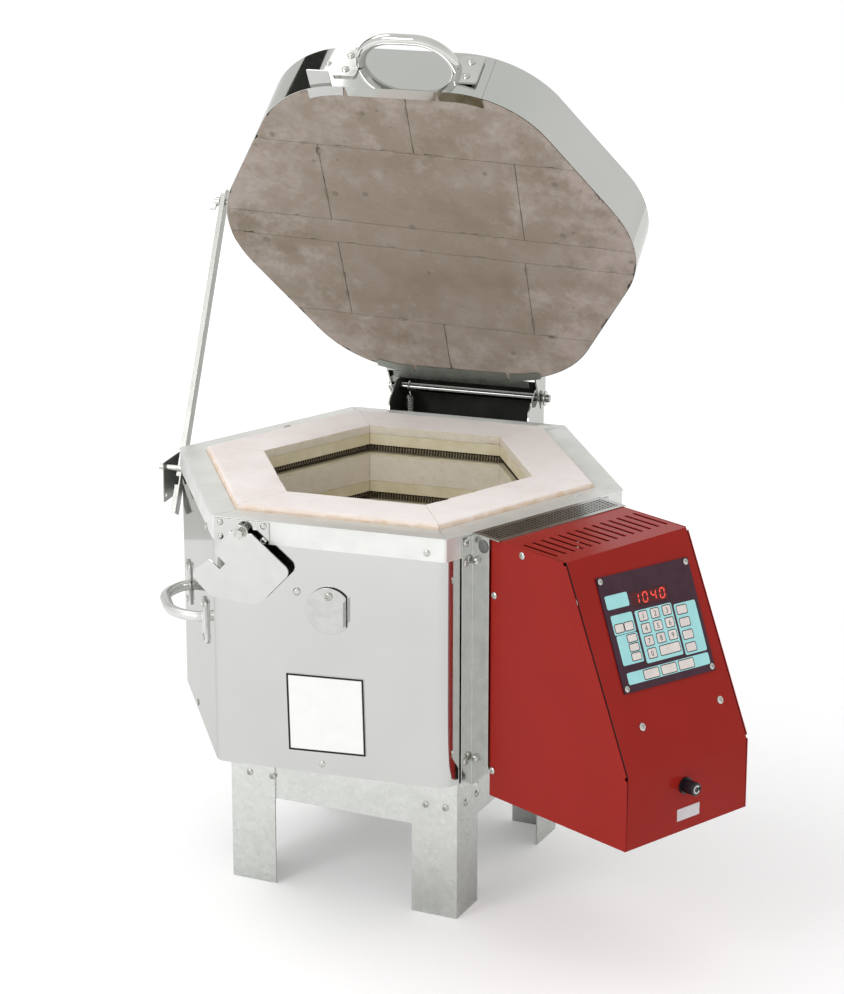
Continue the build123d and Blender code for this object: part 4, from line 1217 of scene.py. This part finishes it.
label = bmesh.new()
inside = LABEL_HALF - LINE
skin(label, [laid(label, LABEL, ((-half, y, -half), (half, y, -half), (half, y, half), (-half, y, half)))
             for half, y in ((LABEL_HALF, 0.0), (LABEL_HALF, -LIFT), (inside, -LIFT), (inside, 0.0))])
piece("label_frame", label, [LABEL_BLACK], "label_plate", replaced=False)

# %% [markdown]
# The camera stands where the photograph was taken: about 18 degrees round to the right and 17
# degrees up, 3.5 m away, with a long lens. These numbers come from fitting the hexagon, the box
# and the legs of the model to the photograph.

# %% Camera
CAMERA_AT = (1.00619, -3.18268, 1.47988)
CAMERA_YAW = 18.25
CAMERA_PITCH = 17.31
FOCAL_PIXELS = 3148.6
FRAME_LONG = 994
SENSOR = 36.0
camera = bpy.data.objects.new("camera", bpy.data.cameras.new("camera"))
camera.location = CAMERA_AT
camera.rotation_euler = (math.radians(90 - CAMERA_PITCH), 0, math.radians(CAMERA_YAW))
camera.data.sensor_width = SENSOR
camera.data.lens = FOCAL_PIXELS * SENSOR / FRAME_LONG
camera.data.clip_end = 60
SCENE.collection.objects.link(camera)
SCENE.camera = camera
print("lens", round(camera.data.lens, 2), "mm")

# %% [markdown]
# Mirror metal shows its surroundings, so the studio is most of its look. The sky is even and pale
# for diffuse light. What the metal sees of it is white at the horizon and greyer overhead, as a
# studio ceiling is, and the camera sees plain white.

# %% Sky
SCENE.view_settings.view_transform = "Standard"
SCENE.world = bpy.data.worlds.new("studio")
SCENE.world.use_nodes = True
sky = SCENE.world.node_tree
sky.nodes.clear()
height = add(sky, "SeparateXYZ", [add(sky, "TexCoord", out="Generated")], out="Z")
mirrored = add(sky, "ValToRGB", [height],
               stops=((0.0, "#fdfdfc"), (0.35, "#f8f8f6"), (0.7, "#f0f1ef"), (1.0, "#eeefed")))
shown = add(sky, "Background", ("#ffffff", 0.9))
for kind, tint in (("Is Glossy Ray", mirrored), ("Is Transmission Ray", "#ffffff"),
                   ("Is Camera Ray", "#ffffff")):
    seen = add(sky, "Background", (tint, 1.0))
    shown = add(sky, "MixShader", (add(sky, "LightPath", out=kind), shown, seen))
add(sky, "OutputWorld", [shown])
print("sky has", len(sky.nodes), "nodes")

# %% [markdown]
# One large soft lamp hangs over the left side, and a second one stands in front. Bright sheet
# needs something dark to mirror, too. A dark board behind on the left gives it its dark edges, and
# a low grey one darkens the left face's top. The boards only show in reflections.

# %% Lamps and boards


def aimed(obj, place, target):
    obj.location = place
    obj.rotation_euler = (Vector(target) - Vector(place)).to_track_quat("-Z", "Y").to_euler()
    SCENE.collection.objects.link(obj)


for name, place, size, watts in (("overhead_softbox", (-1.40, 0.1, 2.45), 1.3, 9),
                                 ("front_softbox", (-1.6, -3.0, 2.2), 1.2, 30)):
    lamp = bpy.data.lights.new(name, "AREA")
    lamp.shape = "SQUARE"
    lamp.size = size
    lamp.energy = watts
    aimed(bpy.data.objects.new(name, lamp), place, (0, 0, 0.4))

for name, place, target, width, height, foot, head in (
        ("dark_board", (-1.42, 0.71, 1.48), (-0.2, -0.15, 0.9), 0.56, 1.2, "#33362f", "#262824"),
        ("grey_board", (-1.05, 0.82, 0.13), (-0.2, -0.1, 0.13), 0.9, 0.3, "#f2f2f1", "#989a96")):
    x, y = width / 2, height / 2
    mesh = bpy.data.meshes.new(name)
    mesh.from_pydata([(-x, -y, 0), (x, -y, 0), (x, y, 0), (-x, y, 0)], [], [(0, 1, 2, 3)])
    material, tree, sockets = start_material(name, head, 0.9)
    up = add(tree, "SeparateXYZ", [add(tree, "TexCoord", out="Object")], out="Y")
    share = add(tree, "MapRange", (up, -y, y, 0.0, 1.0))
    put(sockets["Base Color"], add(tree, "Mix", {0: share, 6: foot, 7: head}, **COLOUR_MIX))
    mesh.materials.append(material)
    made = bpy.data.objects.new(name, mesh)
    aimed(made, place, target)
    for kind in ("camera", "diffuse", "shadow", "transmission"):
        setattr(made, "visible_" + kind, False)

# %% [markdown]
# The floor is white paper. It takes the kiln's shadow, and a soft glow that grows with distance
# lets it run out into the white background. The glow is only seen: it lights nothing. A mirror
# doesn't see it under the kiln, where a real floor is dark.

# %% Paper floor
FLOOR_R = 5000.0

mesh = bpy.data.meshes.new("studio_floor")
mesh.from_pydata([p * MM for p in circle(FLOOR_R, -0.5, 64)], [], [tuple(range(64))])
floor = bpy.data.objects.new("studio_floor", mesh)
SCENE.collection.objects.link(floor)
material = bpy.data.materials.new("white_paper_floor")
material.use_nodes = True
paper = material.node_tree
paper.nodes.clear()
reach = add(paper, "VectorMath", [add(paper, "TexCoord", out="Object")], out="Value",
            operation="LENGTH")
seen_by = camera_ray = add(paper, "LightPath", out="Is Camera Ray")
for kind in ("Is Glossy Ray", "Is Transmission Ray"):
    seen_by = add(paper, "Math", (seen_by, add(paper, "LightPath", out=kind)), operation="ADD",
                  use_clamp=True)
beside = add(paper, "Math", (add(paper, "MapRange", (reach, 0.2, 0.6, 0.0, 1.0)), camera_ray),
             operation="MAXIMUM")
glow = add(paper, "Math", (beside, add(paper, "MapRange", (reach, 1.2, 3.0, 0.17, 0.42))),
           operation="MULTIPLY")
glowing = add(paper, "AddShader", (add(paper, "BsdfDiffuse", ["#f2f2f2"]),
                                   add(paper, "Emission", ("#ffffff", glow))))
both = add(paper, "MixShader", (seen_by, add(paper, "BsdfDiffuse", ["#f0f0ef"]), glowing))
add(paper, "OutputMaterial", [both])
mesh.materials.append(material)
print("floor is", FLOOR_R * 2 * MM, "m wide")
